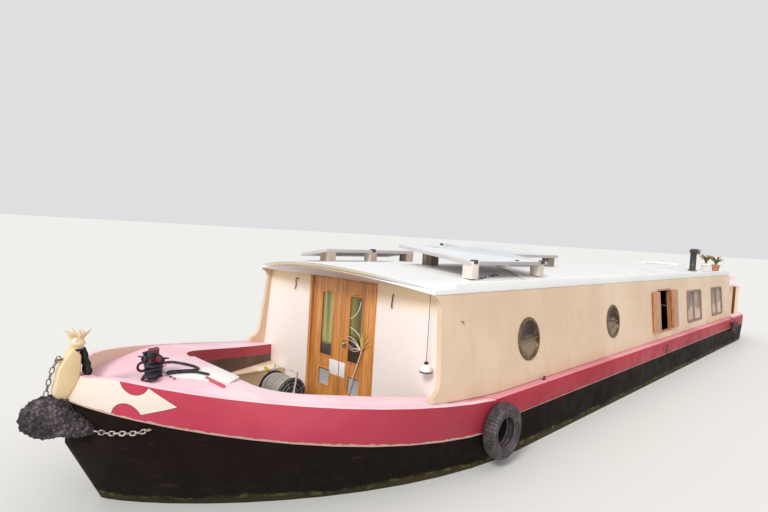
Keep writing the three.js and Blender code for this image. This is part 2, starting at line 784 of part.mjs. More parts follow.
const LOCKER = { x: [BULKHEAD_X + 16, 5960], innerY: -950, top: 1050, lidTop: 1072 };
const LOCKER_LID = { x: [BULKHEAD_X + 20, 5400], y: [-1124, -942] };
const lockerPlan = polygon([
  [LOCKER.x[0], LOCKER.innerY],
  [LOCKER.x[0], -wellWallY(LOCKER.x[0]) + 1],
  [LOCKER.x[1], -wellWallY(LOCKER.x[1]) + 1],
  [LOCKER.x[1], LOCKER.innerY],
]);
const lockerBody = cutBy(
  joined(
    upright(lockerPlan, WELL_FLOOR_Z + GAP, LOCKER.top),
    upright(
      polygon([
        [LOCKER_LID.x[1] + 6, LOCKER.innerY + 8],
        [LOCKER_LID.x[1] + 6, -wellWallY(LOCKER_LID.x[1] + 6) + 1],
        [LOCKER.x[1], -wellWallY(LOCKER.x[1]) + 1],
        [LOCKER.x[1], LOCKER.innerY + 8],
      ]),
      LOCKER.top - 5,
      LOCKER.lidTop,
    ),
    upright(
      polygon([
        [LOCKER_LID.x[0], LOCKER_LID.y[0] - 6],
        [LOCKER_LID.x[0], -wellWallY(LOCKER_LID.x[0]) + 1],
        [LOCKER_LID.x[1] + 10, -wellWallY(LOCKER_LID.x[1] + 10) + 1],
        [LOCKER_LID.x[1] + 10, LOCKER_LID.y[0] - 6],
      ]),
      LOCKER.top - 5,
      LOCKER.lidTop,
    ),
  ),
  box([LOCKER.x[0] + 40, LOCKER_LID.x[1] - 30], [-1100, LOCKER.innerY - 30], [800, 1100]),
);
add("well_locker", lockerBody, PLY);
add(
  "well_locker_lid",
  box(LOCKER_LID.x, LOCKER_LID.y, [LOCKER.top + GAP, LOCKER.lidTop]),
  OFF_WHITE,
);

// Hose reel: a drum between two hoops, with a handle over the top.
const REEL = { x: 5440, z: 975, y: [-625, -215], drum: 182, hose: 166, bore: 13, tube: 10 };
function reelStand() {
  const { x, z, y, tube } = REEL;
  const hoops = y.flatMap((side) => [
    bar([x - 150, side, WELL_FLOOR_Z + 14], [x, side, z], tube, 8),
    bar([x + 150, side, WELL_FLOOR_Z + 14], [x, side, z], tube, 8),
    bar([x - 165, side, WELL_FLOOR_Z + 12], [x + 165, side, WELL_FLOOR_Z + 12], 11.6, 8),
    bar([x, side, z - 10], [x - 40, side, 1222], tube, 8),
  ]);
  return joined(
    ...hoops,
    bar([x, y[0], z], [x, y[1], z], REEL.bore - 0.6, 16),
    bar([x - 40, y[0] - 10, 1212], [x - 40, y[1] + 10, 1212], tube, 8),
  );
}
add("hose_reel_stand", reelStand(), STEEL);
const reelDrum = new THREE.LatheGeometry(
  [
    [REEL.bore, -180],
    [REEL.drum, -180],
    [REEL.drum, -172],
    [REEL.hose, -170],
    [REEL.hose, 170],
    [REEL.drum, 172],
    [REEL.drum, 180],
    [REEL.bore, 180],
    [REEL.bore, -180],
  ].map(([r, h]) => new THREE.Vector2(r, h)),
  24,
).translate(REEL.x, (REEL.y[0] + REEL.y[1]) / 2, REEL.z);
add("hose_reel_drum", reelDrum, HOSE);

// Cabin

const DOORWAY = { half: 532, z: [780, 2268] };
const JAMB = { half: 495, z: [800, 2218] };
const bulkheadHalf = (z) => SIDE_FOOT_Y - WALL - 1 - (z - GUNWALE_Z) * Math.tan(SIDE_LEAN);
const bulkheadFoot = gunwaleZ(BULKHEAD_X) + GAP;
const lowHalf = DECK_INNER_Y - GAP;
const wellHalf = wellWallY(BULKHEAD_X) - GAP;
// The bulkheads' top edge, from port to starboard under the roof.
function ceilingLine() {
  const half = bulkheadHalf(2232);
  const step = (2 * ROOF_HALF) / ROOF_SEGMENTS;
  const bends = [...Array(ROOF_SEGMENTS - 1)].map((_, i) => ROOF_HALF - step * (i + 1));
  return [half, ...bends, -half].map((y) => [y, ceilingZ(y) - GAP]);
}
function bulkheadSide(side) {
  return [
    [side * wellHalf, WELL_FLOOR_Z + GAP],
    [side * wellHalf, BAND_FOOT_Z + 40],
    [side * lowHalf, BAND_FOOT_Z + 40],
    [side * lowHalf, bulkheadFoot],
    [side * bulkheadHalf(bulkheadFoot), bulkheadFoot],
  ];
}
const bulkheadOutline = polygon([
  ...bulkheadSide(1),
  ...ceilingLine(),
  ...bulkheadSide(-1).reverse(),
]);
const doorwayHole = polygon([
  [-DOORWAY.half, DOORWAY.z[0]],
  [DOORWAY.half, DOORWAY.z[0]],
  [DOORWAY.half, DOORWAY.z[1]],
  [-DOORWAY.half, DOORWAY.z[1]],
]);
const frontWall = withHoles(bulkheadOutline, doorwayHole);
add("front_bulkhead", athwart(frontWall, BULKHEAD_X - BULKHEAD, BULKHEAD_X), OFF_WHITE);

const frameOutline = roundedRectangle(
  -DOORWAY.half + GAP,
  DOORWAY.half - GAP,
  DOORWAY.z[0] + GAP,
  DOORWAY.z[1] - GAP,
  2,
);
const frameHole = polygon([
  [-JAMB.half, JAMB.z[0]],
  [JAMB.half, JAMB.z[0]],
  [JAMB.half, JAMB.z[1]],
  [-JAMB.half, JAMB.z[1]],
]);
add(
  "front_door_frame",
  athwart(withHoles(frameOutline, frameHole), BULKHEAD_X - BULKHEAD, BULKHEAD_X + 14, 2),
  OAK,
);

// Front doors: two glazed leaves that open into the cabin.
const FRONT_LEAF = { y: [3, 490], z: [806, 2212], x: [4978, 5018] };
const FRONT_PANES = [
  { y: [128, 330], z: [1354, 2075], arch: 45 },
  { y: [148, 335], z: [1020, 1210], arch: 4 },
];
const PANE = 8;
const KNUCKLE = { radius: 4.6, length: 90 };

// Barrels of a door's hinges, on the upright axis through (x, y).
function knuckles(x, y, heights) {
  return heights.map((z) => {
    const half = KNUCKLE.length / 2;
    return bar([x, y, z - half], [x, y, z + half], KNUCKLE.radius, 10);
  });
}
function frontLeaf() {
  const { y, z, x } = FRONT_LEAF;
  const outline = polygon([
    [y[0], z[0]],
    [y[1], z[0]],
    [y[1], z[1]],
    [y[0], z[1]],
  ]);
  const holes = FRONT_PANES.map((pane) => {
    const hole = new THREE.Shape();
    const middle = (pane.y[0] + pane.y[1]) / 2;
    hole.moveTo(pane.y[0], pane.z[0]);
    hole.lineTo(pane.y[1], pane.z[0]);
    hole.lineTo(pane.y[1], pane.z[1] - pane.arch);
    hole.quadraticCurveTo(middle, pane.z[1] + pane.arch, pane.y[0], pane.z[1] - pane.arch);
    return hole;
  });
  const middleX = (x[0] + x[1]) / 2;
  const panes = FRONT_PANES.map((pane) =>
    box(
      [middleX - PANE / 2, middleX + PANE / 2],
      [pane.y[0] - 10, pane.y[1] + 10],
      [pane.z[0] - 10, pane.z[1] + 10],
    ),
  );
  const hinges = knuckles(x[0], y[1], [980, 1510, 2040]);
  return joined(athwart(withHoles(outline, ...holes), x[0], x[1]), ...panes, ...hinges);
}
add("front_door_port", frontLeaf(), OAK);
add("front_door_starboard", toGeometry(toSolid(frontLeaf()).mirror([0, 1, 0])), OAK);

// Cabin sides: leaning panels drawn as X against the distance up the slope.
// The frame's Z is outwards, and its X runs aft on the port side so that it stays right-handed.
function sideFrame(side) {
  const up = v3(0, -side * Math.sin(SIDE_LEAN), Math.cos(SIDE_LEAN));
  const out = v3(0, side * Math.cos(SIDE_LEAN), Math.sin(SIDE_LEAN));
  const along = v3(-side, 0, 0);
  const basis = new THREE.Matrix4().makeBasis(along, up, out);
  return basis.setPosition(0, side * SIDE_FOOT_Y, GUNWALE_Z);
}
// Extrudes a shape drawn in (aft, up) between two distances from the wall's outer face.
function onSide(side, shape, from, to, curveSegments = 3) {
  const options = { depth: to - from, bevelEnabled: false, curveSegments };
  const geometry = new THREE.ExtrudeGeometry(shape, options).translate(0, 0, from);
  return geometry.applyMatrix4(sideFrame(side));
}

const PORTHOLES = [
  { name: "forward", x: 3559, up: 472 },
  { name: "aft", x: 1167, up: 472 },
];
const PORTHOLE = { flange: 233, hole: 210, glass: 198, proud: 14 };
const WINDOWS = [
  { name: "forward", x: [-3620, -2570] },
  { name: "aft", x: [-5450, -4470] },
];
const WINDOW = { up: [140, 762], radius: 60, flange: 12, rim: 34, proud: 12 };
const HATCHWAY = { x: [-1550, -830], up: [104, 852] };
const HATCH_RING = 30; // width of the hatch frame

const sideX = (side, x) => -side * x;
function windowShape(side, x, up, inset, radius) {
  const ends = x.map((value) => sideX(side, value)).sort((a, b) => a - b);
  return roundedRectangle(
    ends[0] + inset,
    ends[1] - inset,
    up[0] + inset,
    up[1] - inset,
    Math.max(2, radius - inset),
  );
}
function sideRectangle(side, x, up, inset = 0) {
  const ends = x.map((value) => sideX(side, value)).sort((a, b) => a - b);
  return polygon([
    [ends[0] + inset, up[0] + inset],
    [ends[1] - inset, up[0] + inset],
    [ends[1] - inset, up[1] - inset],
    [ends[0] + inset, up[1] - inset],
  ]);
}
const ROUND = 32; // corners of a porthole's rings
function circle(x, y, radius) {
  const corners = [...Array(ROUND)].map((_, i) => {
    const angle = (2 * Math.PI * i) / ROUND;
    return [x + radius * Math.cos(angle), y + radius * Math.sin(angle)];
  });
  return polygon(corners);
}

const sideFoot = (x) => (gunwaleZ(x) - GUNWALE_Z) / Math.cos(SIDE_LEAN) + 7;
const SIDE_TOP = 1004;
function sideOutline(side) {
  const sheer = [4130, 4400, 4700, 5030, 5230].map((x) => [x, sideFoot(x)]);
  const front = [[5232, 130], [5150, 175], [5118, 240], [5098, 530], [5072, 900], [5100, 960]];
  const points = [[CABIN_END_X, 7], ...sheer, ...front, [5165, SIDE_TOP], [CABIN_END_X, SIDE_TOP]];
  return polygon(points.map(([x, up]) => [sideX(side, x), up]));
}
function cabinSide(side) {
  const holes = [
    ...PORTHOLES.map(({ x, up }) => circle(sideX(side, x), up, PORTHOLE.hole)),
    ...WINDOWS.map(({ x }) => windowShape(side, x, WINDOW.up, WINDOW.flange - 1, WINDOW.radius)),
  ];
  if (side > 0) holes.push(sideRectangle(side, HATCHWAY.x, HATCHWAY.up));
  return onSide(side, withHoles(sideOutline(side), ...holes), -WALL, 0);
}

// Portholes: a ring with its pane and the bar of the opening light across the middle.
function porthole(side, { x, up }) {
  const { flange, hole, glass, proud } = PORTHOLE;
  const profile = [
    [0, -26],
    [glass, -26],
    [glass, -46],
    [hole - 2, -46],
    [hole - 2, GAP],
    [flange, GAP],
    [flange, proud - 6],
    [flange - 8, proud],
    [glass, proud],
    [glass, -16],
    [0, -16],
  ];
  const points = profile.map(([r, h]) => new THREE.Vector2(r, h));
  const ring = new THREE.LatheGeometry(points, ROUND).rotateX(Math.PI / 2);
  const rail = new THREE.BoxGeometry(2 * glass + 4, 16, 24).translate(0, 0, -6);
  const placed = joined(ring, rail).translate(sideX(side, x), up, 0);
  return placed.applyMatrix4(sideFrame(side));
}

function cabinWindow(side, { x }) {
  const { up, radius, flange, rim, proud } = WINDOW;
  const shape = (inset) => windowShape(side, x, up, inset, radius);
  const face = onSide(side, withHoles(shape(0), shape(rim)), GAP, proud);
  const sleeve = onSide(side, withHoles(shape(flange), shape(rim + 3)), -WALL + 4, proud - 4);
  const pane = onSide(side, shape(rim - 10), -28, -20);
  const middle = (sideX(side, x[0]) + sideX(side, x[1])) / 2;
  const mullion = polygon([
    [middle - 14, up[0] + rim - 8],
    [middle + 14, up[0] + rim - 8],
    [middle + 14, up[1] - rim + 8],
    [middle - 14, up[1] - rim + 8],
  ]);
  return joined(face, sleeve, pane, onSide(side, mullion, -30, 2));
}

for (const { name, side } of SIDES) {
  add("cabin_side_" + name, cabinSide(side), CREAM);
  for (const port of PORTHOLES) {
    add("porthole_" + name + "_" + port.name, porthole(side, port), BRONZE);
  }
  for (const light of WINDOWS) {
    add("window_" + name + "_" + light.name, cabinWindow(side, light), BRONZE);
  }
}

// Side hatch with two leaves folded back flat against the cabin side.
const hatchFrame = withHoles(
  sideRectangle(1, HATCHWAY.x, HATCHWAY.up, GAP),
  sideRectangle(1, HATCHWAY.x, HATCHWAY.up, HATCH_RING),
);
add("side_hatch_frame", onSide(1, hatchFrame, -WALL - 6, 4), OAK);
const HATCH_LEAF = {
  width: 322,
  thick: 28,
  up: [139, 809],
  hingeOut: 12, // of the hinge's axis, from the cabin side
  hingeIn: 27, // of the hinge's axis, from the frame's outer edge
  barrel: 7.6,
};
function hatchLeaf(edgeX, direction) {
  const { width, thick, up, hingeOut, hingeIn, barrel } = HATCH_LEAF;
  const hingeX = edgeX - direction * hingeIn;
  const start = hingeX + direction * 8;
  const shape = sideRectangle(1, [start, start + direction * width], up);
  const panel = onSide(1, shape, hingeOut + 3, hingeOut + 3 + thick);
  const straps = [up[0] + 90, up[1] - 90].flatMap((centre) => {
    const heights = [centre - 22, centre + 22];
    const strap = sideRectangle(1, [hingeX + direction * 2, start + direction * 60], heights);
    const ends = heights.map((height) => [sideX(1, hingeX), height, hingeOut]);
    const pin = bar(...ends, barrel, 16).applyMatrix4(sideFrame(1));
    return [onSide(1, strap, hingeOut - 4, hingeOut + 5), pin];
  });
  return joined(panel, ...straps);
}
add("side_hatch_leaf_forward", hatchLeaf(HATCHWAY.x[1], 1), OAK);
add("side_hatch_leaf_aft", hatchLeaf(HATCHWAY.x[0], -1), OAK);

// Roof: an arched plate, bowed at the front, with a raised lip along each edge.
function roofRing(frontOf) {
  const ys = [...Array(ROOF_SEGMENTS + 1)].map(
    (_, i) => ROOF_HALF * (1 - (2 * i) / ROOF_SEGMENTS),
  );
  return [
    ...ys.map((y) => v3(frontOf(y), y, roofZ(y))),
    ...ys.reverse().map((y) => v3(frontOf(y), y, roofZ(y) - ROOF_THICK)),
  ];
}
function archBand(y0, y1, x0, x1, above, top, steps = 8) {
  const ys = [...Array(steps + 1)].map((_, i) => y0 + ((y1 - y0) * i) / steps);
  const ring = (x) => [
    ...ys.map((y) => v3(x, y, roofZ(y) + above)),
    ...ys.slice().reverse().map((y) => v3(x, y, roofZ(y) + top)),
  ];
  return skin([ring(x0), ring(x1)]);
}
const LIP = { x: [CABIN_END_X, 4860], width: 42, height: 48 };
const REAR_HATCH = { half: 364, x: [CABIN_END_X, -5670], travel: 650 };
const LAMP_HOOK = { x: 5095, y: 1262 };
const lampHookZ = roofZ(LAMP_HOOK.y) - ROOF_THICK;
const roof = cutBy(
  joined(
    skin([roofRing(() => CABIN_END_X), roofRing(roofFrontX)]),
    archBand(ROOF_HALF - LIP.width, ROOF_HALF, ...LIP.x, -10, LIP.height, 1),
    archBand(-ROOF_HALF, -ROOF_HALF + LIP.width, ...LIP.x, -10, LIP.height, 1),
    archBand(368, 410, CABIN_END_X, -4930, -10, 8, 1),
    archBand(-410, -368, CABIN_END_X, -4930, -10, 8, 1),
    bar([LAMP_HOOK.x, LAMP_HOOK.y, lampHookZ - 14], [LAMP_HOOK.x, LAMP_HOOK.y, lampHookZ + 10], 6),
  ),
  box([CABIN_END_X - 5, REAR_HATCH.x[1]], [-REAR_HATCH.half, REAR_HATCH.half], [2200, 2500]),
);
add("roof", roof, ROOF_WHITE);
add(
  "rear_sliding_hatch",
  archBand(-408, 408, CABIN_END_X + 4, -5600, 8 + GAP, 38),
  CRIMSON,
);

// Lamp that hangs from the roof's front corner on a thin cord
const LAMP_SHADE = { top: 1605, radius: 58, height: 92 };
add(
  "lamp_cord",
  bar(
    [LAMP_HOOK.x, LAMP_HOOK.y, LAMP_SHADE.top + GAP],
    [LAMP_HOOK.x, LAMP_HOOK.y, lampHookZ - 14 - GAP],
    3,
    8,
  ),
  IRON,
);
const shadeProfile = [[0, 0], [14, 0], [18, -18]];
for (let i = 1; i <= 6; i++) {
  const angle = (i / 6) * (Math.PI / 2);
  shadeProfile.push([18 + 40 * Math.sin(angle), -18 - 60 * (1 - Math.cos(angle))]);
}
shadeProfile.push([LAMP_SHADE.radius, -LAMP_SHADE.height], [50, -LAMP_SHADE.height], [40, -60]);
shadeProfile.push([0, -44]);
add(
  "lamp_shade",
  turned(shadeProfile.reverse()).translate(LAMP_HOOK.x, LAMP_HOOK.y, LAMP_SHADE.top),
  LAMP,
);

// Rear bulkhead with the lower side screens that shelter the stern deck
const REAR_DOORWAY = { half: 358, sill: 1280 };
const rearFoot = GUNWALE_Z + GAP;
const rearOutline = polygon([
  [-bulkheadHalf(rearFoot), rearFoot],
  [bulkheadHalf(rearFoot), rearFoot],
  ...ceilingLine(),
]);
const SCREEN = {
  y: 1270,
  thick: 40,
  x: [-7120, CABIN_END_X + 20],
  tall: 2150,
  low: 1900,
  stepX: -6680,
};
const screens = [1, -1].map((side) => {
  const profile = polygon([
    [SCREEN.x[0], GUNWALE_Z + GAP],
    [SCREEN.x[1], GUNWALE_Z + GAP],
    [SCREEN.x[1], SCREEN.tall],
    [SCREEN.stepX, SCREEN.tall],
    [SCREEN.stepX - 60, SCREEN.low],
    [SCREEN.x[0], SCREEN.low],
  ]);
  return foreAndAft(profile, SCREEN.thick).translate(0, side * SCREEN.y, 0);
});
const rearBulkhead = cutBy(
  joined(athwart(rearOutline, CABIN_END_X + GAP, CABIN_BACK_X), ...screens),
  box(
    [CABIN_END_X - 10, CABIN_BACK_X + 10],
    [-REAR_DOORWAY.half, REAR_DOORWAY.half],
    [REAR_DOORWAY.sill, 2500],
  ),
);
add("rear_bulkhead", rearBulkhead, CREAM);
for (const { name, side } of SIDES) {
  const hingeY = side * (REAR_DOORWAY.half - 5);
  const ys = [side * 3, hingeY].sort((a, b) => a - b);
  const leaf = box([CABIN_END_X + 4, CABIN_END_X + 39], ys, [REAR_DOORWAY.sill + 6, 2340]);
  const hinges = knuckles(CABIN_END_X + 4, hingeY, [1450, 2150]);
  add("rear_door_" + name, joined(leaf, ...hinges), OAK);
}

// Roof gear: solar panels on blocks and brackets
const SOLAR = [
  {
    name: "port",
    near: { x: [2630, 4280], y: 1110, z: 2500 },
    far: { y: 100, z: 2620 },
    feet: [[4210, 1060, 60], [2760, 1040, 60], [3780, 170, 70]],
  },
  {
    name: "middle",
    near: { x: [920, 2540], y: 420, z: 2550 },
    far: { y: -580, z: 2640 },
    feet: [[1080, 340, 70], [2400, 340, 60], [1100, -500, 60]],
  },
  {
    name: "starboard",
    near: { x: [3030, 4640], y: -760, z: 2505 },
    far: { y: -1280, z: 2420 },
    feet: [[4560, -830, 70], [3830, -820, 60], [3100, -830, 70]],
  },
];
const SOLAR_THICK = 40;
function solarPanel({ near, far, feet }) {
  const plate = skin(
    near.x.map((x) => [
      v3(x, near.y, near.z),
      v3(x, far.y, far.z),
      v3(x, far.y, far.z - SOLAR_THICK),
      v3(x, near.y, near.z - SOLAR_THICK),
    ]),
  );
  const slope = (far.z - near.z) / (far.y - near.y);
  const blocks = feet.map(([x, y, half]) => {
    const top = near.z + slope * (y - near.y) - 5;
    const foot = Math.max(roofZ(Math.abs(y) - half), roofZ(Math.abs(y) + half)) + GAP;
    const footZ = Math.abs(y) < half ? ROOF_CROWN_Z + GAP : foot;
    return box([x - half, x + half], [y - half, y + half], [footZ, Math.max(top, footZ + 40)]);
  });
  return joined(plate, ...blocks);
}
for (const panel of SOLAR) {
  add("solar_panel_" + panel.name, solarPanel(panel), PANEL);
}

// Chimney and plant pots
const CHIMNEY = { x: -4270, y: 1060, radius: 62, height: 430 };
const chimney = turned(
  [
    [0, 0],
    [CHIMNEY.radius + 30, 0],
    [CHIMNEY.radius + 30, 14],
    [CHIMNEY.radius, 24],
    [CHIMNEY.radius, CHIMNEY.height - 40],
    [CHIMNEY.radius + 22, CHIMNEY.height - 36],
    [CHIMNEY.radius + 22, CHIMNEY.height + 20],
    [CHIMNEY.radius - 10, CHIMNEY.height + 46],
    [0, CHIMNEY.height + 50],
  ],
  20,
);
chimney.translate(CHIMNEY.x, CHIMNEY.y, roofZ(CHIMNEY.y - CHIMNEY.radius - 30) + GAP);
add("chimney", chimney, IRON);
const POTS = [
  { name: "forward", x: -5150, y: 1120, radius: 110, height: 170 },
  { name: "aft", x: -5950, y: 1150, radius: 95, height: 150 },
];
for (const { name, x, y, radius, height } of POTS) {
  const pot = turned(
    [
      [0, 0],
      [radius * 0.68, 0],
      [radius * 0.92, height * 0.8],
      [radius, height * 0.8],
      [radius, height],
      [radius * 0.86, height],
      [radius * 0.8, height * 0.85],
      [0, height * 0.85],
    ],
    20,
  );
  add("plant_pot_" + name, pot.translate(x, y, roofZ(y - radius * 0.68) + GAP), TERRACOTTA);
}

// Stern gear

function blade(turn) {
  const { radius, hub } = PROPELLER;
  const ring = (r, half, twist, thick) =>
    [
      [-half, -thick],
      [half, -thick],
      [half, thick],
      [-half, thick],
    ].map(([across, along]) => {
      const c = Math.cos(twist);
      const s = Math.sin(twist);
      return v3(across * s + along * c, across * c - along * s, r);
    });
  const rings = [
    ring(hub * 0.5, 30, 0.9, 8),
    ring(hub + 30, 62, 0.75, 7),
    ring(radius * 0.72, 84, 0.55, 5),
    ring(radius - 6, 40, 0.45, 3),
  ];
  return skin(rings).rotateX(turn);
}
const blades = [...Array(PROPELLER.blades)].map((_, i) =>
  blade((i * 2 * Math.PI) / PROPELLER.blades),
);
const propeller = joined(
  bar([-48, 0, 0], [SHAFT.x - PROPELLER.x - 8, 0, 0], PROPELLER.hub, 20),
  bar([0, 0, 0], [SHAFT.x - PROPELLER.x + SHAFT.depth - 10, 0, 0], SHAFT.radius, 20),
  ...blades,
).translate(PROPELLER.x, 0, SHAFT.z);
add("propeller", propeller, BRONZE);

const RUDDER = { x: [-7970, -7510], z: [100, 540], thick: 24 };
const rudder = joined(
  box(RUDDER.x, [-RUDDER.thick / 2, RUDDER.thick / 2], RUDDER.z),
  bar([STOCK.x, 0, SKEG.z[0] + 1], [STOCK.x, 0, 1320], STOCK.radius, 20),
  rod(
    [
      [STOCK.x, 0, 1300],
      [STOCK.x - 30, 0, 1480],
      [STOCK.x + 60, 0, 1680],
      [STOCK.x + 240, 0, 1790],
      [STOCK.x + 430, 0, 1810],
    ],
    26,
    20,
    12,
  ),
);
add("rudder", rudder, BLACKING);

const ENGINE_BLOCK = { x: [-6240, -5360], y: [-300, 300], z: [CABIN_FLOOR_Z + GAP, 1030] };
add("engine", box(ENGINE_BLOCK.x, ENGINE_BLOCK.y, ENGINE_BLOCK.z), ENGINE);

// Fenders

const TYRE_FENDER = { x: 4410, z: 950, outer: 264, inner: 140, half: 66, y: 1612.7 };
const tyreProfile = [
  [TYRE_FENDER.inner, -40],
  [218, -TYRE_FENDER.half],
  [250, -56],
  [TYRE_FENDER.outer, -32],
  [TYRE_FENDER.outer, 32],
  [250, 56],
  [218, TYRE_FENDER.half],
  [TYRE_FENDER.inner, 40],
  [163, 18],
  [186, 0],
  [163, -18],
  [TYRE_FENDER.inner, -40],
];
const tyre = new THREE.LatheGeometry(
  tyreProfile.map(([r, h]) => new THREE.Vector2(r, h)),
  24,
).translate(TYRE_FENDER.x, TYRE_FENDER.y + TYRE_FENDER.half + GAP, TYRE_FENDER.z);
add("tyre_fender", tyre, TYRE);

// A small fender hangs at the port quarter by a rope over the gunwale.
const STERN_FENDER = { x: -5800, radius: 70, foot: 900, tall: 260, rope: 7 };
function sternFender() {
  const { x, radius, foot, tall, rope } = STERN_FENDER;
  const y = HALF_BEAM + GAP + radius;
  const body = turned(
    [
      [0, 0],
      [45, 6],
      [radius, 40],
      [radius, tall - 40],
      [45, tall - 6],
      [0, tall],
    ],
    16,
  ).translate(x, y, foot);
  const top = GUNWALE_Z + GAP + rope;
  const line = rod(
    [
      [x, y, foot + tall - 20],
      [x, y - 4, foot + tall + 22],
      [x, y - 28, top + 4],
      [x, y - 70, top + 1],
      [x, y - 120, top],
    ],
    rope,
    14,
    8,
  );
  return cutBy(joined(body, line), aroundBand);
}
add("stern_fender", sternFender(), COIR);

export default boat;
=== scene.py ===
"""A steel wide-beam canal houseboat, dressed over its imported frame.

The frame is X forward, Y to port and Z up from the underside of the baseplate, in metres.
The floor lies at the waterline, as the boat floats.
"""

from __future__ import annotations

import json
import logging
import math
import random
from collections.abc import Callable, Iterable, Sequence
from dataclasses import dataclass, field
from enum import Enum

import bpy
from mathutils import Matrix, Vector
from mathutils.bvhtree import BVHTree

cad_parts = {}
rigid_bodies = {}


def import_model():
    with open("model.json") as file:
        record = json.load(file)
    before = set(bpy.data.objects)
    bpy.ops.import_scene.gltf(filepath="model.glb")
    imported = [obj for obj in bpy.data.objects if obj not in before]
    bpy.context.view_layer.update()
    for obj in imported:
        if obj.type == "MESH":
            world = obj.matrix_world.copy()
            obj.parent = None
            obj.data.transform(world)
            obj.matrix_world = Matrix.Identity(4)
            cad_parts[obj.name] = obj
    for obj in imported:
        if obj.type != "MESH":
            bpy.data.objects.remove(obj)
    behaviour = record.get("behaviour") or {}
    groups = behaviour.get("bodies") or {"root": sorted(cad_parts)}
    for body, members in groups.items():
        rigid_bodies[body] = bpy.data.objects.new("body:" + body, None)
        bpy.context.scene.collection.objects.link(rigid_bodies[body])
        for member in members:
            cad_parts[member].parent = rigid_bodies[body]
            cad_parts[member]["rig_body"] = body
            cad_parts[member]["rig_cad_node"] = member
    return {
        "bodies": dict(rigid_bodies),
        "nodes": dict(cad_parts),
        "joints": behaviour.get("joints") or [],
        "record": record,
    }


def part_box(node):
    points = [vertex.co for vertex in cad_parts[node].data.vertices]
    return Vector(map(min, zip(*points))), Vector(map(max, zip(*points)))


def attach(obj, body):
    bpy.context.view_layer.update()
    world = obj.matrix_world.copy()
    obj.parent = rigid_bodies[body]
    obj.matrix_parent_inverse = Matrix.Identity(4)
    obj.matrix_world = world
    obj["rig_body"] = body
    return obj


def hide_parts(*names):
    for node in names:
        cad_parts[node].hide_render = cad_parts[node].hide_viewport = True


LOG = logging.getLogger("houseboat")

Vec3 = tuple[float, float, float]
Rgb = tuple[float, float, float]
Points = tuple[Vec3, ...]
Pairs = tuple[tuple[float, float], ...]
Rule = Callable[[Vector, Vector], bool]
WATERLINE = 0.60
HULL = "boat"


class Grain(Enum):
    """Which way the grain of a wooden piece runs."""

    ALONG = (0.35, 9.0, 9.0)
    ACROSS = (9.0, 0.35, 9.0)
    UPRIGHT = (9.0, 9.0, 0.35)


class Side(Enum):
    """A side of the boat, with the sign of its Y."""

    PORT = 1
    STARBOARD = -1

    @property
    def label(self) -> str:
        """The side's name as the nodes spell it."""
        return self.name.lower()


class Route(Enum):
    """How a bar follows its points: near them, through them, or straight between them."""

    NEAR = "NURBS"
    THROUGH = "BEZIER"
    STRAIGHT = "POLY"


# Materials


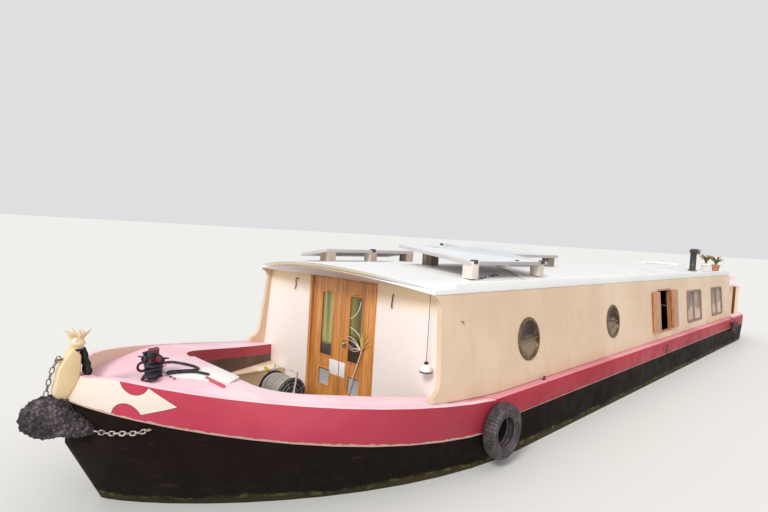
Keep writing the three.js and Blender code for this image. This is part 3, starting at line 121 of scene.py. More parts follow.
class Graph:
    """A material's node tree, with short ways to add and join its nodes."""

    def __init__(self, name: str) -> None:
        """Starts a material.

        Args:
            name: The material's name.
        """
        self.material = bpy.data.materials.new(name)
        self.material.use_nodes = True
        self.tree = self.material.node_tree
        self.shader = self.tree.nodes["Principled BSDF"]
        coordinates = self.tree.nodes.new("ShaderNodeTexCoord")
        self.place = coordinates.outputs["Object"]
        self.surface = coordinates.outputs["UV"]

    def feed(self, socket: bpy.types.NodeSocket, value: object) -> None:
        """Links an output to a socket, or sets the socket to a plain value.

        Args:
            socket: The input to fill.
            value: A node's output, a number or a colour.
        """
        if isinstance(value, bpy.types.NodeSocket):
            self.tree.links.new(value, socket)
        elif isinstance(value, tuple) and len(value) == 3 and len(socket.default_value) == 4:
            socket.default_value = (*value, 1.0)
        else:
            socket.default_value = value

    def axis(self, index: int, source: object = None) -> bpy.types.NodeSocket:
        """One coordinate of a position.

        Args:
            index: 0, 1 or 2 for X, Y or Z.
            source: The vector to split, the Object coordinates by default.

        Returns:
            The coordinate's output.
        """
        split = self.tree.nodes.new("ShaderNodeSeparateXYZ")
        self.feed(split.inputs[0], source or self.place)
        return split.outputs[index]

    def stretched(self, scale: Vec3, source: object = None) -> bpy.types.NodeSocket:
        """The coordinates scaled on each axis.

        Args:
            scale: The factor on X, Y and Z.
            source: The vector to scale, the Object coordinates by default.

        Returns:
            The scaled vector's output.
        """
        mapping = self.tree.nodes.new("ShaderNodeMapping")
        self.feed(mapping.inputs["Vector"], source or self.place)
        mapping.inputs["Scale"].default_value = scale
        return mapping.outputs["Vector"]

    def noise(
        self, scale: float, detail: float = 4.0, rough: float = 0.55, along: Vec3 | None = None
    ) -> bpy.types.NodeSocket:
        """Cloudy noise.

        Args:
            scale: Its frequency in one metre.
            detail: The number of octaves.
            rough: How strong the finer octaves are.
            along: A stretch on each axis.

        Returns:
            The noise's output, mostly between 0.3 and 0.7.
        """
        made = self.tree.nodes.new("ShaderNodeTexNoise")
        self.feed(made.inputs["Vector"], self.stretched(along) if along else self.place)
        made.inputs["Scale"].default_value = scale
        made.inputs["Detail"].default_value = detail
        made.inputs["Roughness"].default_value = rough
        return made.outputs["Fac"]

    def cells(self, scale: float, along: Vec3 | None = None) -> bpy.types.NodeSocket:
        """The distance to the middle of each of many rounded cells.

        Args:
            scale: The number of cells in one metre.
            along: A stretch on each axis.

        Returns:
            The distance's output.
        """
        made = self.tree.nodes.new("ShaderNodeTexVoronoi")
        self.feed(made.inputs["Vector"], self.stretched(along) if along else self.place)
        made.inputs["Scale"].default_value = scale
        return made.outputs["Distance"]

    def window(
        self, value: object, low: float, high: float, to: tuple[float, float] = (0.0, 1.0)
    ) -> bpy.types.NodeSocket:
        """Spreads a range of a value smoothly over another range.

        Args:
            value: The value's output.
            low: The value that gives the first end.
            high: The value that gives the second end.
            to: The two ends.

        Returns:
            The clamped result's output.
        """
        made = self.tree.nodes.new("ShaderNodeMapRange")
        made.interpolation_type = "SMOOTHSTEP"
        self.feed(made.inputs["Value"], value)
        made.inputs["From Min"].default_value = low
        made.inputs["From Max"].default_value = high
        made.inputs["To Min"].default_value = to[0]
        made.inputs["To Max"].default_value = to[1]
        return made.outputs["Result"]

    def sum(self, kind: str, first: object, second: object = 0.0) -> bpy.types.NodeSocket:
        """Works out one sum of two values.

        Args:
            kind: Blender's name of the sum, such as MULTIPLY.
            first: The first value.
            second: The second value.

        Returns:
            The result's output.
        """
        made = self.tree.nodes.new("ShaderNodeMath")
        made.operation = kind
        self.feed(made.inputs[0], first)
        self.feed(made.inputs[1], second)
        return made.outputs[0]

    def times(self, first: object, second: object) -> bpy.types.NodeSocket:
        """The product of two values."""
        return self.sum("MULTIPLY", first, second)

    def less(self, first: object, second: object) -> bpy.types.NodeSocket:
        """The first value less the second."""
        return self.sum("SUBTRACT", first, second)

    def span(self, across: object, up: object) -> bpy.types.NodeSocket:
        """The straight distance made by two distances at right angles.

        Args:
            across: The first distance.
            up: The second distance.

        Returns:
            The straight distance's output.
        """
        square = self.sum("ADD", self.times(across, across), self.times(up, up))
        return self.sum("SQRT", square)

    def blend(self, share: object, low: object, high: object) -> bpy.types.NodeSocket:
        """Mixes two colours.

        Args:
            share: How much of the second colour shows.
            low: The first colour.
            high: The second colour.

        Returns:
            The mixed colour's output.
        """
        made = self.tree.nodes.new("ShaderNodeMix")
        made.data_type = "RGBA"
        self.feed(made.inputs[0], share)
        self.feed(made.inputs[6], low)
        self.feed(made.inputs[7], high)
        return made.outputs[2]

    def emboss(self, height: object, depth: float, strength: float = 1.0) -> None:
        """Gives the surface a bump, over any that it has.

        Args:
            height: The height's output, from 0 to 1.
            depth: The height of 1, in metres.
            strength: How much of it shows.
        """
        made = self.tree.nodes.new("ShaderNodeBump")
        made.inputs["Strength"].default_value = strength
        made.inputs["Distance"].default_value = depth
        self.feed(made.inputs["Height"], height)
        earlier = self.shader.inputs["Normal"].links
        if earlier:
            self.feed(made.inputs["Normal"], earlier[0].from_socket)
        self.feed(self.shader.inputs["Normal"], made.outputs["Normal"])

    def finish(self, tone: object, rough: object, metal: float = 0.0) -> bpy.types.Material:
        """Joins the colour and the roughness to the shader.

        Args:
            tone: The colour.
            rough: The roughness.
            metal: 1 for bare metal.

        Returns:
            The material.
        """
        self.feed(self.shader.inputs["Base Color"], tone)
        self.feed(self.shader.inputs["Roughness"], rough)
        self.shader.inputs["Metallic"].default_value = metal
        return self.material


@dataclass(frozen=True)
class Finish:
    """A named finish that is made into a material once."""

    name: str
    slot: str

    def material(self) -> bpy.types.Material:
        """The finish's material, made at its first use."""
        return bpy.data.materials.get(self.name) or self.make(Graph(self.name))

    def make(self, graph: Graph) -> bpy.types.Material:
        """Builds the material's nodes.

        Args:
            graph: The new material's graph.

        Returns:
            The material.
        """
        raise NotImplementedError


@dataclass(frozen=True)
class Paint(Finish):
    """Brushed enamel that the sun has faded, with runs, dirt and rubbed places."""

    colour: Rgb
    faded: Rgb
    grime: Rgb
    rough: float = 0.45
    runs: float = 0.25
    dirt: float = 0.25
    rubs: float = 0.0
    rubbed: Rgb = (0.72, 0.55, 0.5)
    gloss: float = 0.5

    def tone(self, graph: Graph) -> bpy.types.NodeSocket:
        """The paint's colour with its weathering.

        Args:
            graph: The material's graph.

        Returns:
            The colour's output.
        """
        fade = graph.window(graph.noise(0.8, 6, 0.6), 0.38, 0.66)
        tone = graph.blend(fade, self.colour, self.faded)
        runs = graph.window(graph.noise(1.0, 5, 0.6, (9.0, 9.0, 0.7)), 0.5, 0.78, (0.0, self.runs))
        tone = graph.blend(runs, tone, self.grime)
        dirt = graph.window(graph.noise(4.5, 9, 0.72), 0.52, 0.74, (0.0, self.dirt))
        tone = graph.blend(dirt, tone, self.grime)
        if self.rubs:
            rub = graph.window(graph.noise(1.0, 8, 0.7, (2.2, 2.2, 38.0)), 0.62, 0.68)
            where = graph.window(graph.noise(0.9, 3, 0.5), 0.46, 0.6, (0.0, self.rubs))
            tone = graph.blend(graph.times(rub, where), tone, self.rubbed)
        return tone

    def make(self, graph: Graph) -> bpy.types.Material:
        """Builds the material's nodes.

        Args:
            graph: The new material's graph.

        Returns:
            The material.
        """
        rough = graph.window(
            graph.noise(6, 6, 0.6), 0.3, 0.75, (self.rough - 0.08, self.rough + 0.15)
        )
        graph.emboss(graph.noise(1.3, 3, 0.5), 0.004, 0.6)
        graph.emboss(graph.noise(90, 4, 0.6), 0.0006, 0.5)
        graph.shader.inputs["Specular IOR Level"].default_value = self.gloss
        return graph.finish(self.tone(graph), rough)


@dataclass(frozen=True)
class ShadedPaint(Paint):
    """Paint with another colour above a height, which may rise along the boat."""

    under: Rgb = (0.8, 0.8, 0.8)
    low: float = 0.0
    high: float = 1.0
    along: Vec3 = (0.0, 0.0, 0.0)

    def tone(self, graph: Graph) -> bpy.types.NodeSocket:
        """The paint's colour with the other one above it.

        Args:
            graph: The material's graph.

        Returns:
            The colour's output.
        """
        start, height, slope = self.along
        line = graph.times(graph.less(graph.axis(0), start), slope)
        above = graph.less(graph.axis(2), graph.sum("ADD", line, height))
        share = graph.window(above, self.low, self.high)
        return graph.blend(share, super().tone(graph), self.under)


@dataclass(frozen=True)
class HalfPaint(Paint):
    """Paint with another colour to starboard of the boat's middle."""

    beyond: Rgb = (0.8, 0.8, 0.8)

    def tone(self, graph: Graph) -> bpy.types.NodeSocket:
        """The paint's colour with the other one to starboard.

        Args:
            graph: The material's graph.

        Returns:
            The colour's output.
        """
        share = graph.window(graph.axis(1), 0.008, -0.012)
        return graph.blend(share, super().tone(graph), self.beyond)


@dataclass(frozen=True)
class HullBlacking(Paint):
    """Bitumen on the hull, with a weedy line at the water and rubbed strips above it."""

    weed: Rgb = (0.13, 0.12, 0.035)
    wet: Rgb = (0.055, 0.045, 0.022)
    rust: Rgb = (0.09, 0.045, 0.03)

    def tone(self, graph: Graph) -> bpy.types.NodeSocket:
        """The blacking's colour with the line of weed.

        Args:
            graph: The material's graph.

        Returns:
            The colour's output.
        """
        tone = super().tone(graph)
        height = graph.axis(2)
        wave = graph.noise(1.0, 7, 0.7, (1.6, 1.6, 3.0))
        edge = graph.sum("ADD", height, graph.times(wave, -0.18))
        low = graph.window(edge, 0.60, 0.53)
        tone = graph.blend(low, tone, self.wet)
        line = graph.times(
            graph.window(edge, 0.585, 0.575), graph.window(edge, 0.545, 0.56)
        )
        spots = graph.window(graph.noise(9, 8, 0.75), 0.47, 0.6)
        tone = graph.blend(graph.times(line, spots), tone, self.weed)
        rust = graph.window(graph.noise(1.0, 8, 0.7, (2.5, 2.5, 14.0)), 0.6, 0.72, (0.0, 0.5))
        return graph.blend(rust, tone, self.rust)


@dataclass(frozen=True)
class BandEnamel(Paint):
    """Enamel of the gunwale band, chipped along its foot, with a scroll at the bow, where painted shade
    darkens it towards the cabin.

    The piece's UV map holds the distance from the stem and the height over the band's foot.
    The scroll is what lies outside two discs, below a falling line and above a rising one.
    """

    scroll: bool = False
    cream: Rgb = (0.79, 0.69, 0.61)
    smudged: Rgb = (0.62, 0.50, 0.44)
    outline: Rgb = (0.20, 0.035, 0.045)
    # Painted shade: the bow band's colour aft, where it turns away from the light.
    shaded: Rgb = (0.33, 0.030, 0.048)
    chip: Rgb = (0.55, 0.36, 0.30)
    upper_disc: Vec3 = (0.586, 0.294, 0.113)
    lower_disc: Vec3 = (0.538, -0.011, 0.120)
    falling: tuple[float, float] = (0.6005, 0.5028)
    rising: tuple[float, float] = (0.2215, 0.4249)

    def beyond(self, graph: Graph, u: object, v: object, at: Vec3) -> bpy.types.NodeSocket:
        """How far a point lies outside a disc.

        Args:
            graph: The material's graph.
            u: The distance from the stem.
            v: The height over the foot.
            at: The disc's middle and radius.

        Returns:
            The distance's output in metres, negative inside.
        """
        reach = graph.span(graph.less(u, at[0]), graph.less(v, at[1]))
        return graph.less(reach, at[2])

    def ornament(self, graph: Graph, tone: object, u: object, v: object) -> bpy.types.NodeSocket:
        """The band's colour with the outlined scroll, and painted shade that darkens it towards the
        cabin.

        Args:
            graph: The material's graph.
            tone: The colour under the scroll.
            u: The distance from the stem.
            v: The height over the foot.

        Returns:
            The colour's output.
        """
        top = graph.less(self.falling[0], graph.times(u, self.falling[1]))
        ramp = graph.less(graph.times(u, self.rising[1]), self.rising[0])
        inside = graph.less(top, v)
        for limit in (
            self.beyond(graph, u, v, self.upper_disc),
            self.beyond(graph, u, v, self.lower_disc),
            graph.less(v, ramp),
        ):
            inside = graph.sum("MINIMUM", inside, limit)
        tone = graph.blend(graph.window(inside, -0.006, -0.004), tone, self.outline)
        smudge = graph.window(graph.noise(7, 6, 0.7), 0.55, 0.8, (0.0, 0.3))
        cream = graph.blend(smudge, self.cream, self.smudged)
        tone = graph.blend(graph.window(inside, -0.001, 0.001), tone, cream)
        # Painted shade: darker aft of x 6.6 m, where the band turns away from the light ahead.
        return graph.blend(graph.window(graph.axis(0), 6.6, 4.8, (0.0, 0.8)), tone, self.shaded)

    def tone(self, graph: Graph) -> bpy.types.NodeSocket:
        """The band's colour with its scroll and its chips.

        Args:
            graph: The material's graph.

        Returns:
            The colour's output.
        """
        tone = super().tone(graph)
        u = graph.axis(0, graph.surface)
        v = graph.axis(1, graph.surface)
        if self.scroll:
            tone = self.ornament(graph, tone, u, v)
        ragged = graph.times(graph.noise(14, 8, 0.75), 0.045)
        foot = graph.window(graph.less(v, ragged), -0.006, -0.011)
        return graph.blend(foot, tone, self.chip)


@dataclass(frozen=True)
class Timber(Finish):
    """Wood with its grain, either varnished or weathered."""

    dark: Rgb
    light: Rgb
    grain: Grain = Grain.UPRIGHT
    rough: float = 0.35
    varnish: float = 0.4

    def make(self, graph: Graph) -> bpy.types.Material:
        """Builds the material's nodes.

        Args:
            graph: The new material's graph.

        Returns:
            The material.
        """
        fibre = graph.noise(7.0, 8, 0.65, self.grain.value)
        broad = graph.noise(1.2, 4, 0.6, self.grain.value)
        tone = graph.blend(graph.window(fibre, 0.35, 0.68), self.dark, self.light)
        stain = graph.window(broad, 0.42, 0.68, (0.0, 0.55))
        tone = graph.blend(stain, tone, tuple(0.62 * c for c in self.dark))
        rough = graph.window(fibre, 0.3, 0.7, (self.rough + 0.12, self.rough))
        graph.emboss(fibre, 0.0012, 0.5)
        graph.shader.inputs["Coat Weight"].default_value = self.varnish
        graph.shader.inputs["Coat Roughness"].default_value = 0.2
        return graph.finish(tone, rough)


@dataclass(frozen=True)
class Metal(Finish):
    """Bare or oxidised metal with tarnish in its hollows."""

    bright: Rgb
    dull: Rgb
    rough: float = 0.4
    metal: float = 0.8

    def make(self, graph: Graph) -> bpy.types.Material:
        """Builds the material's nodes.

        Args:
            graph: The new material's graph.

        Returns:
            The material.
        """
        tarnish = graph.window(graph.noise(22, 7, 0.65), 0.38, 0.66)
        tone = graph.blend(tarnish, self.bright, self.dull)
        rough = graph.window(graph.noise(35, 5, 0.6), 0.3, 0.7, (self.rough - 0.1, self.rough + 0.2))
        graph.emboss(graph.noise(160, 4, 0.6), 0.0004, 0.6)
        return graph.finish(tone, rough, self.metal)


@dataclass(frozen=True)
class Soft(Finish):
    """Rope, rubber or hose: a rough surface with a fine pattern of cells, with painted shade in the
    grooves between them.
    """

    dark: Rgb
    light: Rgb
    rough: float = 0.85
    cell: float = 60.0
    depth: float = 0.003
    mottle: float = 12.0

    def make(self, graph: Graph) -> bpy.types.Material:
        """Builds the material's nodes.

        Args:
            graph: The new material's graph.

        Returns:
            The material.
        """
        cells = graph.cells(self.cell)
        worn = graph.window(graph.noise(self.mottle, 7, 0.7), 0.42, 0.66)
        tone = graph.blend(worn, self.dark, self.light)
        # Painted shade: darker towards the edges of the cells, in the grooves of the bump.
        shade = graph.window(cells, 0.25, 0.75, (0.0, 0.75))
        tone = graph.blend(shade, tone, tuple(0.35 * c for c in self.dark))
        graph.emboss(graph.window(cells, 0.9, 0.0), self.depth, 0.9)
        return graph.finish(tone, self.rough)


@dataclass(frozen=True)
class TyreRubber(Soft):
    """Rubber with grooves round the tread, lugs across it and rings on the walls, with painted shade in
    the grooves.
    """

    centre: Vec3 = (4.410, 1.679, 0.950)
    tread: float = 0.235
    pitch: float = 0.030
    lugs: int = 46

    def make(self, graph: Graph) -> bpy.types.Material:
        """Builds the material's nodes.

        Args:
            graph: The new material's graph.

        Returns:
            The material.
        """
        across = graph.less(graph.axis(0), self.centre[0])
        up = graph.less(graph.axis(2), self.centre[2])
        wide = graph.span(across, up)
        turn = graph.times(graph.sum("ARCTAN2", up, across), self.lugs)
        beat = 2 * math.pi / self.pitch
        round_tread = graph.sum("SINE", graph.times(graph.axis(1), beat))
        round_wall = graph.sum("SINE", graph.times(wide, beat))
        groove = graph.window(round_tread, 0.55, 0.85)
        lug = graph.window(graph.sum("SINE", turn), 0.45, 0.8)
        wall = graph.window(round_wall, 0.6, 0.9)
        on_tread = graph.window(wide, self.tread - 0.01, self.tread + 0.01)
        off_tread = graph.less(1.0, on_tread)
        cut = graph.times(graph.sum("MAXIMUM", groove, lug), on_tread)
        cut = graph.sum("MAXIMUM", cut, graph.times(wall, off_tread))
        worn = graph.window(graph.noise(self.mottle, 7, 0.7), 0.40, 0.66)
        tone = graph.blend(worn, self.dark, self.light)
        # Painted shade: the grooves, lugs and rings are darkened.
        tone = graph.blend(graph.times(cut, 0.7), tone, tuple(0.4 * c for c in self.dark))
        graph.emboss(graph.less(1.0, cut), 0.006, 0.9)
        return graph.finish(tone, self.rough)


@dataclass(frozen=True)
class Pane(Finish):
    """Glass with a curtain or dark room behind it: lighter above, darker below. The dark room and the
    curtain's darker folds are painted shade.
    """

    above: Rgb
    below: Rgb
    split: float
    folds: float = 26.0
    rough: float = 0.35
    polish: float = 0.12
    haze: Rgb = (0.30, 0.27, 0.24)

    def make(self, graph: Graph) -> bpy.types.Material:
        """Builds the material's nodes.

        Args:
            graph: The new material's graph.

        Returns:
            The material.
        """
        # Painted shade: darker stripes in the curtain's folds.
        fold = graph.window(graph.noise(1.0, 4, 0.6, (self.folds, self.folds, 0.8)), 0.38, 0.64)
        tone = graph.blend(fold, tuple(0.45 * c for c in self.above), self.above)
        low = graph.sum("ADD", graph.axis(2), graph.times(graph.noise(3.0), 0.3))
        tone = graph.blend(
            graph.window(low, self.split + 0.19, self.split + 0.12), tone, self.below
        )
        blur = graph.window(graph.noise(5.0, 6, 0.6), 0.5, 0.8, (0.0, 0.5))
        tone = graph.blend(blur, tone, self.haze)
        graph.shader.inputs["Coat Weight"].default_value = self.polish
        graph.shader.inputs["Coat Roughness"].default_value = 0.08
        graph.shader.inputs["Specular IOR Level"].default_value = 0.3
        return graph.finish(tone, self.rough)


# Finishes, each with its name, the slot it stands for and its colours


BLACKING = HullBlacking(
    "hull_blacking", "blacking", (0.010, 0.0055, 0.004), (0.018, 0.011, 0.008), (0.035, 0.023, 0.016),
    rough=0.7, runs=0.10, dirt=0.22, rubs=0.3, rubbed=(0.08, 0.055, 0.042), gloss=0.08,
)
CRIMSON_BOW = BandEnamel(
    "crimson_bow", "crimson", (0.50, 0.048, 0.085), (0.57, 0.080, 0.120), (0.28, 0.035, 0.05),
    rough=0.42, runs=0.10, dirt=0.16, rubs=0.30, rubbed=(0.75, 0.42, 0.42), gloss=0.2, scroll=True,
)
# The side band's crimson is darker than the bow's: painted shade, as the sides turn away from the light
# ahead.
CRIMSON = BandEnamel(
    "crimson_side", "crimson", (0.38, 0.030, 0.048), (0.46, 0.058, 0.080), (0.20, 0.025, 0.03),
    rough=0.5, runs=0.14, dirt=0.22, rubs=0.5, rubbed=(0.62, 0.30, 0.29), gloss=0.12,
)
CRIMSON_PLAIN = Paint(
    "crimson_plain", "crimson", (0.46, 0.05, 0.08), (0.60, 0.13, 0.17), (0.2, 0.03, 0.04),
    rough=0.42, runs=0.2, dirt=0.3,
)
CRIMSON_DARK = Paint(
    "crimson_dark", "crimson", (0.16, 0.018, 0.035), (0.27, 0.04, 0.06), (0.06, 0.015, 0.02),
    rough=0.5, runs=0.2, dirt=0.4,
)
DECK_PINK = Paint(
    "deck_pink_paint", "deck_pink", (0.95, 0.60, 0.68), (0.96, 0.76, 0.82), (0.84, 0.42, 0.50),
    rough=0.6, runs=0.05, dirt=0.18, rubs=0.3, rubbed=(0.94, 0.8, 0.8),
)
DECK_ROSE = Paint(
    "side_deck_rose", "deck_pink", (0.66, 0.22, 0.27), (0.82, 0.38, 0.43), (0.40, 0.14, 0.16),
    rough=0.6, runs=0.05, dirt=0.25, rubs=0.3, rubbed=(0.92, 0.66, 0.68),
)
BEIGE = Paint(
    "bulwark_beige", "cream", (0.80, 0.60, 0.46), (0.86, 0.68, 0.55), (0.6, 0.42, 0.3),
    rough=0.55, runs=0.2, dirt=0.3,
)
CREAM = Paint(
    "cabin_cream", "cream", (0.72, 0.53, 0.36), (0.80, 0.62, 0.46), (0.52, 0.36, 0.24),
    rough=0.45, runs=0.20, dirt=0.10, gloss=0.35,
)
STEM_CREAM = Paint(
    "stem_cream", "cream", (0.80, 0.60, 0.33), (0.90, 0.72, 0.48), (0.62, 0.46, 0.24),
    rough=0.5, runs=0.3, dirt=0.3,
)
PLATE_WHITE = HalfPaint(
    "plate_white", "off_white", (0.92, 0.87, 0.84), (0.94, 0.91, 0.88), (0.80, 0.64, 0.60),
    rough=0.55, runs=0.0, dirt=0.2, beyond=(0.93, 0.68, 0.74),
)
LID_CREAM = Paint(
    "lid_cream", "off_white", (0.90, 0.80, 0.62), (0.93, 0.87, 0.74), (0.70, 0.56, 0.40),
    rough=0.6, runs=0.0, dirt=0.25,
)
LOCKER_TOP = Paint(
    "locker_top", "ply", (0.78, 0.58, 0.42), (0.88, 0.72, 0.56), (0.46, 0.36, 0.29),
    rough=0.8, runs=0.0, dirt=0.4,
)
# Yellowish cream rising from 1.93 m to 2.20 m: painted shade under the roof's overhang on the white
# bulkhead.
BULKHEAD_WHITE = ShadedPaint(
    "bulkhead_white", "off_white", (0.93, 0.85, 0.81), (0.95, 0.89, 0.86), (0.80, 0.68, 0.55),
    rough=0.5, runs=0.10, dirt=0.06, under=(0.93, 0.74, 0.47), low=1.93, high=2.20,
)
# Crimson along the coaming's top; below it dark brown: the bulwark's tan lining, darkened by painted
# shade under the rail.
COAMING = ShadedPaint(
    "coaming_crimson", "crimson", (0.10, 0.055, 0.035), (0.24, 0.15, 0.10), (0.05, 0.03, 0.02),
    rough=0.55, runs=0.3, dirt=0.4, under=(0.50, 0.055, 0.085), low=-0.128, high=-0.118,
    along=(5.03, 1.276, 0.125),
)
ROOF_WHITE = Paint(
    "roof_chalk_white", "roof_white", (0.84, 0.84, 0.835), (0.88, 0.88, 0.875), (0.74, 0.71, 0.66),
    rough=0.7, runs=0.0, dirt=0.12, gloss=0.3,
)
# Yellowish cream on the roof's underside: painted shade under the white roof.
ROOF_UNDERSIDE_SHADE = Paint(
    "soffit_cream", "cream", (0.82, 0.66, 0.42), (0.86, 0.72, 0.50), (0.6, 0.45, 0.28),
    rough=0.5, runs=0.0, dirt=0.15,
)
WELL_GREY = Paint(
    "well_floor_grey", "blacking", (0.16, 0.13, 0.12), (0.24, 0.20, 0.18), (0.08, 0.06, 0.05),
    rough=0.8, runs=0.0, dirt=0.5,
)
OAK = Timber("door_oak", "oak", (0.56, 0.20, 0.045), (0.82, 0.40, 0.12), varnish=0.2)
HATCH_OAK = Timber("hatch_oak", "oak", (0.42, 0.15, 0.05), (0.66, 0.31, 0.13), varnish=0.2)
DARK_OAK = Timber("dark_oak", "oak", (0.07, 0.022, 0.010), (0.16, 0.050, 0.020), Grain.ACROSS)
PLY = Timber(
    "locker_ply", "ply", (0.86, 0.60, 0.36), (0.93, 0.74, 0.52), Grain.ALONG, rough=0.55, varnish=0.1
)
WEATHERED = Timber(
    "weathered_wood", "ply", (0.16, 0.12, 0.09), (0.46, 0.38, 0.30), Grain.UPRIGHT, 0.8, 0.0
)
BRONZE = Metal("window_bronze", "bronze", (0.22, 0.14, 0.075), (0.10, 0.065, 0.045), 0.42, 0.6)
WINDOW_FRAME = Metal("window_frame", "bronze", (0.33, 0.22, 0.17), (0.19, 0.125, 0.10), 0.5, 0.25)
ZINC = Metal("zinc_tube", "steel_tube", (0.84, 0.83, 0.82), (0.58, 0.57, 0.56), 0.38, 0.3)
CHAIN_GREY = Metal("chain_grey", "steel_tube", (0.62, 0.57, 0.54), (0.24, 0.18, 0.15), 0.6, 0.25)
RUSTY_CHAIN = Metal("chain_rusty", "steel_tube", (0.30, 0.26, 0.25), (0.13, 0.065, 0.05), 0.6, 0.35)
RUST = Metal("rusty_bolt", "iron", (0.22, 0.05, 0.04), (0.09, 0.03, 0.025), 0.7, 0.2)
IRON = Metal("stove_iron", "iron", (0.10, 0.085, 0.09), (0.045, 0.04, 0.042), 0.55, 0.4)
STOVE_GREY = Metal("stove_grey", "iron", (0.30, 0.27, 0.28), (0.11, 0.095, 0.10), 0.6, 0.25)
ENGINE_GREEN = Metal("engine_paint", "engine_green", (0.09, 0.13, 0.10), (0.05, 0.06, 0.05), 0.5, 0.3)
ROPE = Soft("mooring_rope", "rope", (0.030, 0.028, 0.040), (0.10, 0.095, 0.125), cell=95.0)
HANK_ROPE = Soft("hank_rope", "rope", (0.012, 0.012, 0.014), (0.045, 0.042, 0.04), cell=85.0, depth=0.006)
KNOTS = Soft(
    "knotted_rope", "coir", (0.040, 0.028, 0.034), (0.23, 0.175, 0.19), cell=42.0, depth=0.016, mottle=9.0
)
TYRE = TyreRubber(
    "tyre_rubber", "tyre", (0.048, 0.036, 0.040), (0.135, 0.105, 0.115), 0.8, 130.0, 0.0008
)
HOSE = Paint(
    "hose_grey", "hose", (0.30, 0.27, 0.24), (0.66, 0.63, 0.59), (0.07, 0.06, 0.06),
    rough=0.4, runs=0.0, dirt=0.7,
)
FLANGE_GREY = Metal("flange_grey", "hose", (0.42, 0.40, 0.42), (0.16, 0.14, 0.16), 0.5, 0.2)
HOSE_DARK = Soft("hose_dark", "hose", (0.03, 0.028, 0.035), (0.08, 0.07, 0.09), 0.5, 60.0, 0.0005)
YELLOW = Paint(
    "yellow_fitting", "hose", (0.60, 0.52, 0.03), (0.75, 0.68, 0.10), (0.25, 0.22, 0.02), rough=0.4
)
LAMP_WHITE = Paint(
    "lamp_enamel", "lamp_white", (0.86, 0.85, 0.84), (0.92, 0.91, 0.90), (0.6, 0.58, 0.55), rough=0.25
)
TERRACOTTA = Paint(
    "baked_clay", "terracotta", (0.45, 0.16, 0.08), (0.58, 0.26, 0.15), (0.25, 0.12, 0.08), rough=0.8
)
LEAF = Soft("leaves", "terracotta", (0.14, 0.16, 0.03), (0.42, 0.38, 0.10), 0.6, 50.0, 0.002)
SOLAR_FRAME = Paint(
    "panel_frame", "solar", (0.50, 0.46, 0.46), (0.62, 0.58, 0.58), (0.3, 0.27, 0.26), rough=0.5
)
SOLAR_GLASS = Paint(
    "panel_glass", "solar", (0.74, 0.77, 0.81), (0.82, 0.84, 0.86), (0.6, 0.6, 0.58),
    rough=0.25, dirt=0.1, runs=0.0,
)
# Brown below 2.462 m: painted shade under a panel's starboard edge, over the edge and its blocks; grey
# frame colour above.
PANEL_EDGE = ShadedPaint(
    "panel_edge_and_blocks", "solar", (0.50, 0.38, 0.30), (0.70, 0.58, 0.48), (0.28, 0.20, 0.15),
    rough=0.7, dirt=0.4, under=(0.55, 0.50, 0.50), low=2.462, high=2.466,
)
BLOCK_PALE = Paint(
    "block_pale", "ply", (0.78, 0.68, 0.58), (0.88, 0.82, 0.76), (0.45, 0.33, 0.22), rough=0.7, dirt=0.4
)
CARD = Paint(
    "card_white", "off_white", (0.86, 0.83, 0.84), (0.93, 0.91, 0.92), (0.55, 0.56, 0.62),
    rough=0.7, runs=0.0, dirt=0.25,
)
TWIG = Paint(
    "twig_pale", "ply", (0.80, 0.60, 0.46), (0.92, 0.80, 0.68), (0.5, 0.36, 0.24), rough=0.7
)
DRY_LEAF = Paint(
    "dry_leaf", "ply", (0.50, 0.34, 0.06), (0.62, 0.50, 0.14), (0.3, 0.22, 0.05), rough=0.7
)
BRASS = Metal("knob_brass", "bronze", (0.62, 0.42, 0.20), (0.34, 0.22, 0.11), 0.35, 0.6)
POT_PALE = Paint(
    "pot_pale", "terracotta", (0.86, 0.80, 0.78), (0.92, 0.88, 0.86), (0.6, 0.5, 0.45), rough=0.5
)
BLOOM = Paint("bloom_red", "terracotta", (0.55, 0.07, 0.05), (0.78, 0.25, 0.12), (0.3, 0.05, 0.03))
# Door glasses: curtain above the split, painted shade of the unlit cabin below it.
DOOR_GLASS = Pane("door_glass", "oak", (0.46, 0.44, 0.16), (0.05, 0.042, 0.038), 1.50)
DOOR_GLASS_PORT = Pane("door_glass_port", "oak", (0.26, 0.25, 0.07), (0.045, 0.026, 0.018), 1.62, 11.0)
FROSTED = Paint(
    "frosted_glass", "oak", (0.40, 0.43, 0.46), (0.52, 0.53, 0.56), (0.25, 0.25, 0.26), rough=0.3
)
NET_GLASS = Pane("net_curtain_glass", "bronze", (0.46, 0.35, 0.29), (0.56, 0.42, 0.34), 1.62, 15.0, 0.5)
# Porthole glass: dark above, painted shade of the unlit cabin; lighter below, a painted reflection.
PORT_GLASS = Pane("porthole_glass", "bronze", (0.070, 0.045, 0.028), (0.25, 0.165, 0.110), 1.69, 9.0)


# Modelling


def only(*pieces: bpy.types.Object) -> bpy.types.Object:
    """Selects some pieces alone and makes the first active.

    Args:
        *pieces: The pieces to select.

    Returns:
        The active piece.
    """
    only_none()
    for piece in pieces:
        piece.select_set(True)
    bpy.context.view_layer.objects.active = pieces[0]
    return pieces[0]


def only_none() -> None:
    """Deselects everything."""
    bpy.ops.object.select_all(action="DESELECT")


def settle(piece: bpy.types.Object, name: str) -> bpy.types.Object:
    """Names a piece and puts its place into its mesh.

    Args:
        piece: The piece.
        name: Its new name.

    Returns:
        The piece.
    """
    only(piece)
    piece.name = name
    piece.data.name = name
    bpy.ops.object.transform_apply(location=True, rotation=True, scale=True)
    return piece


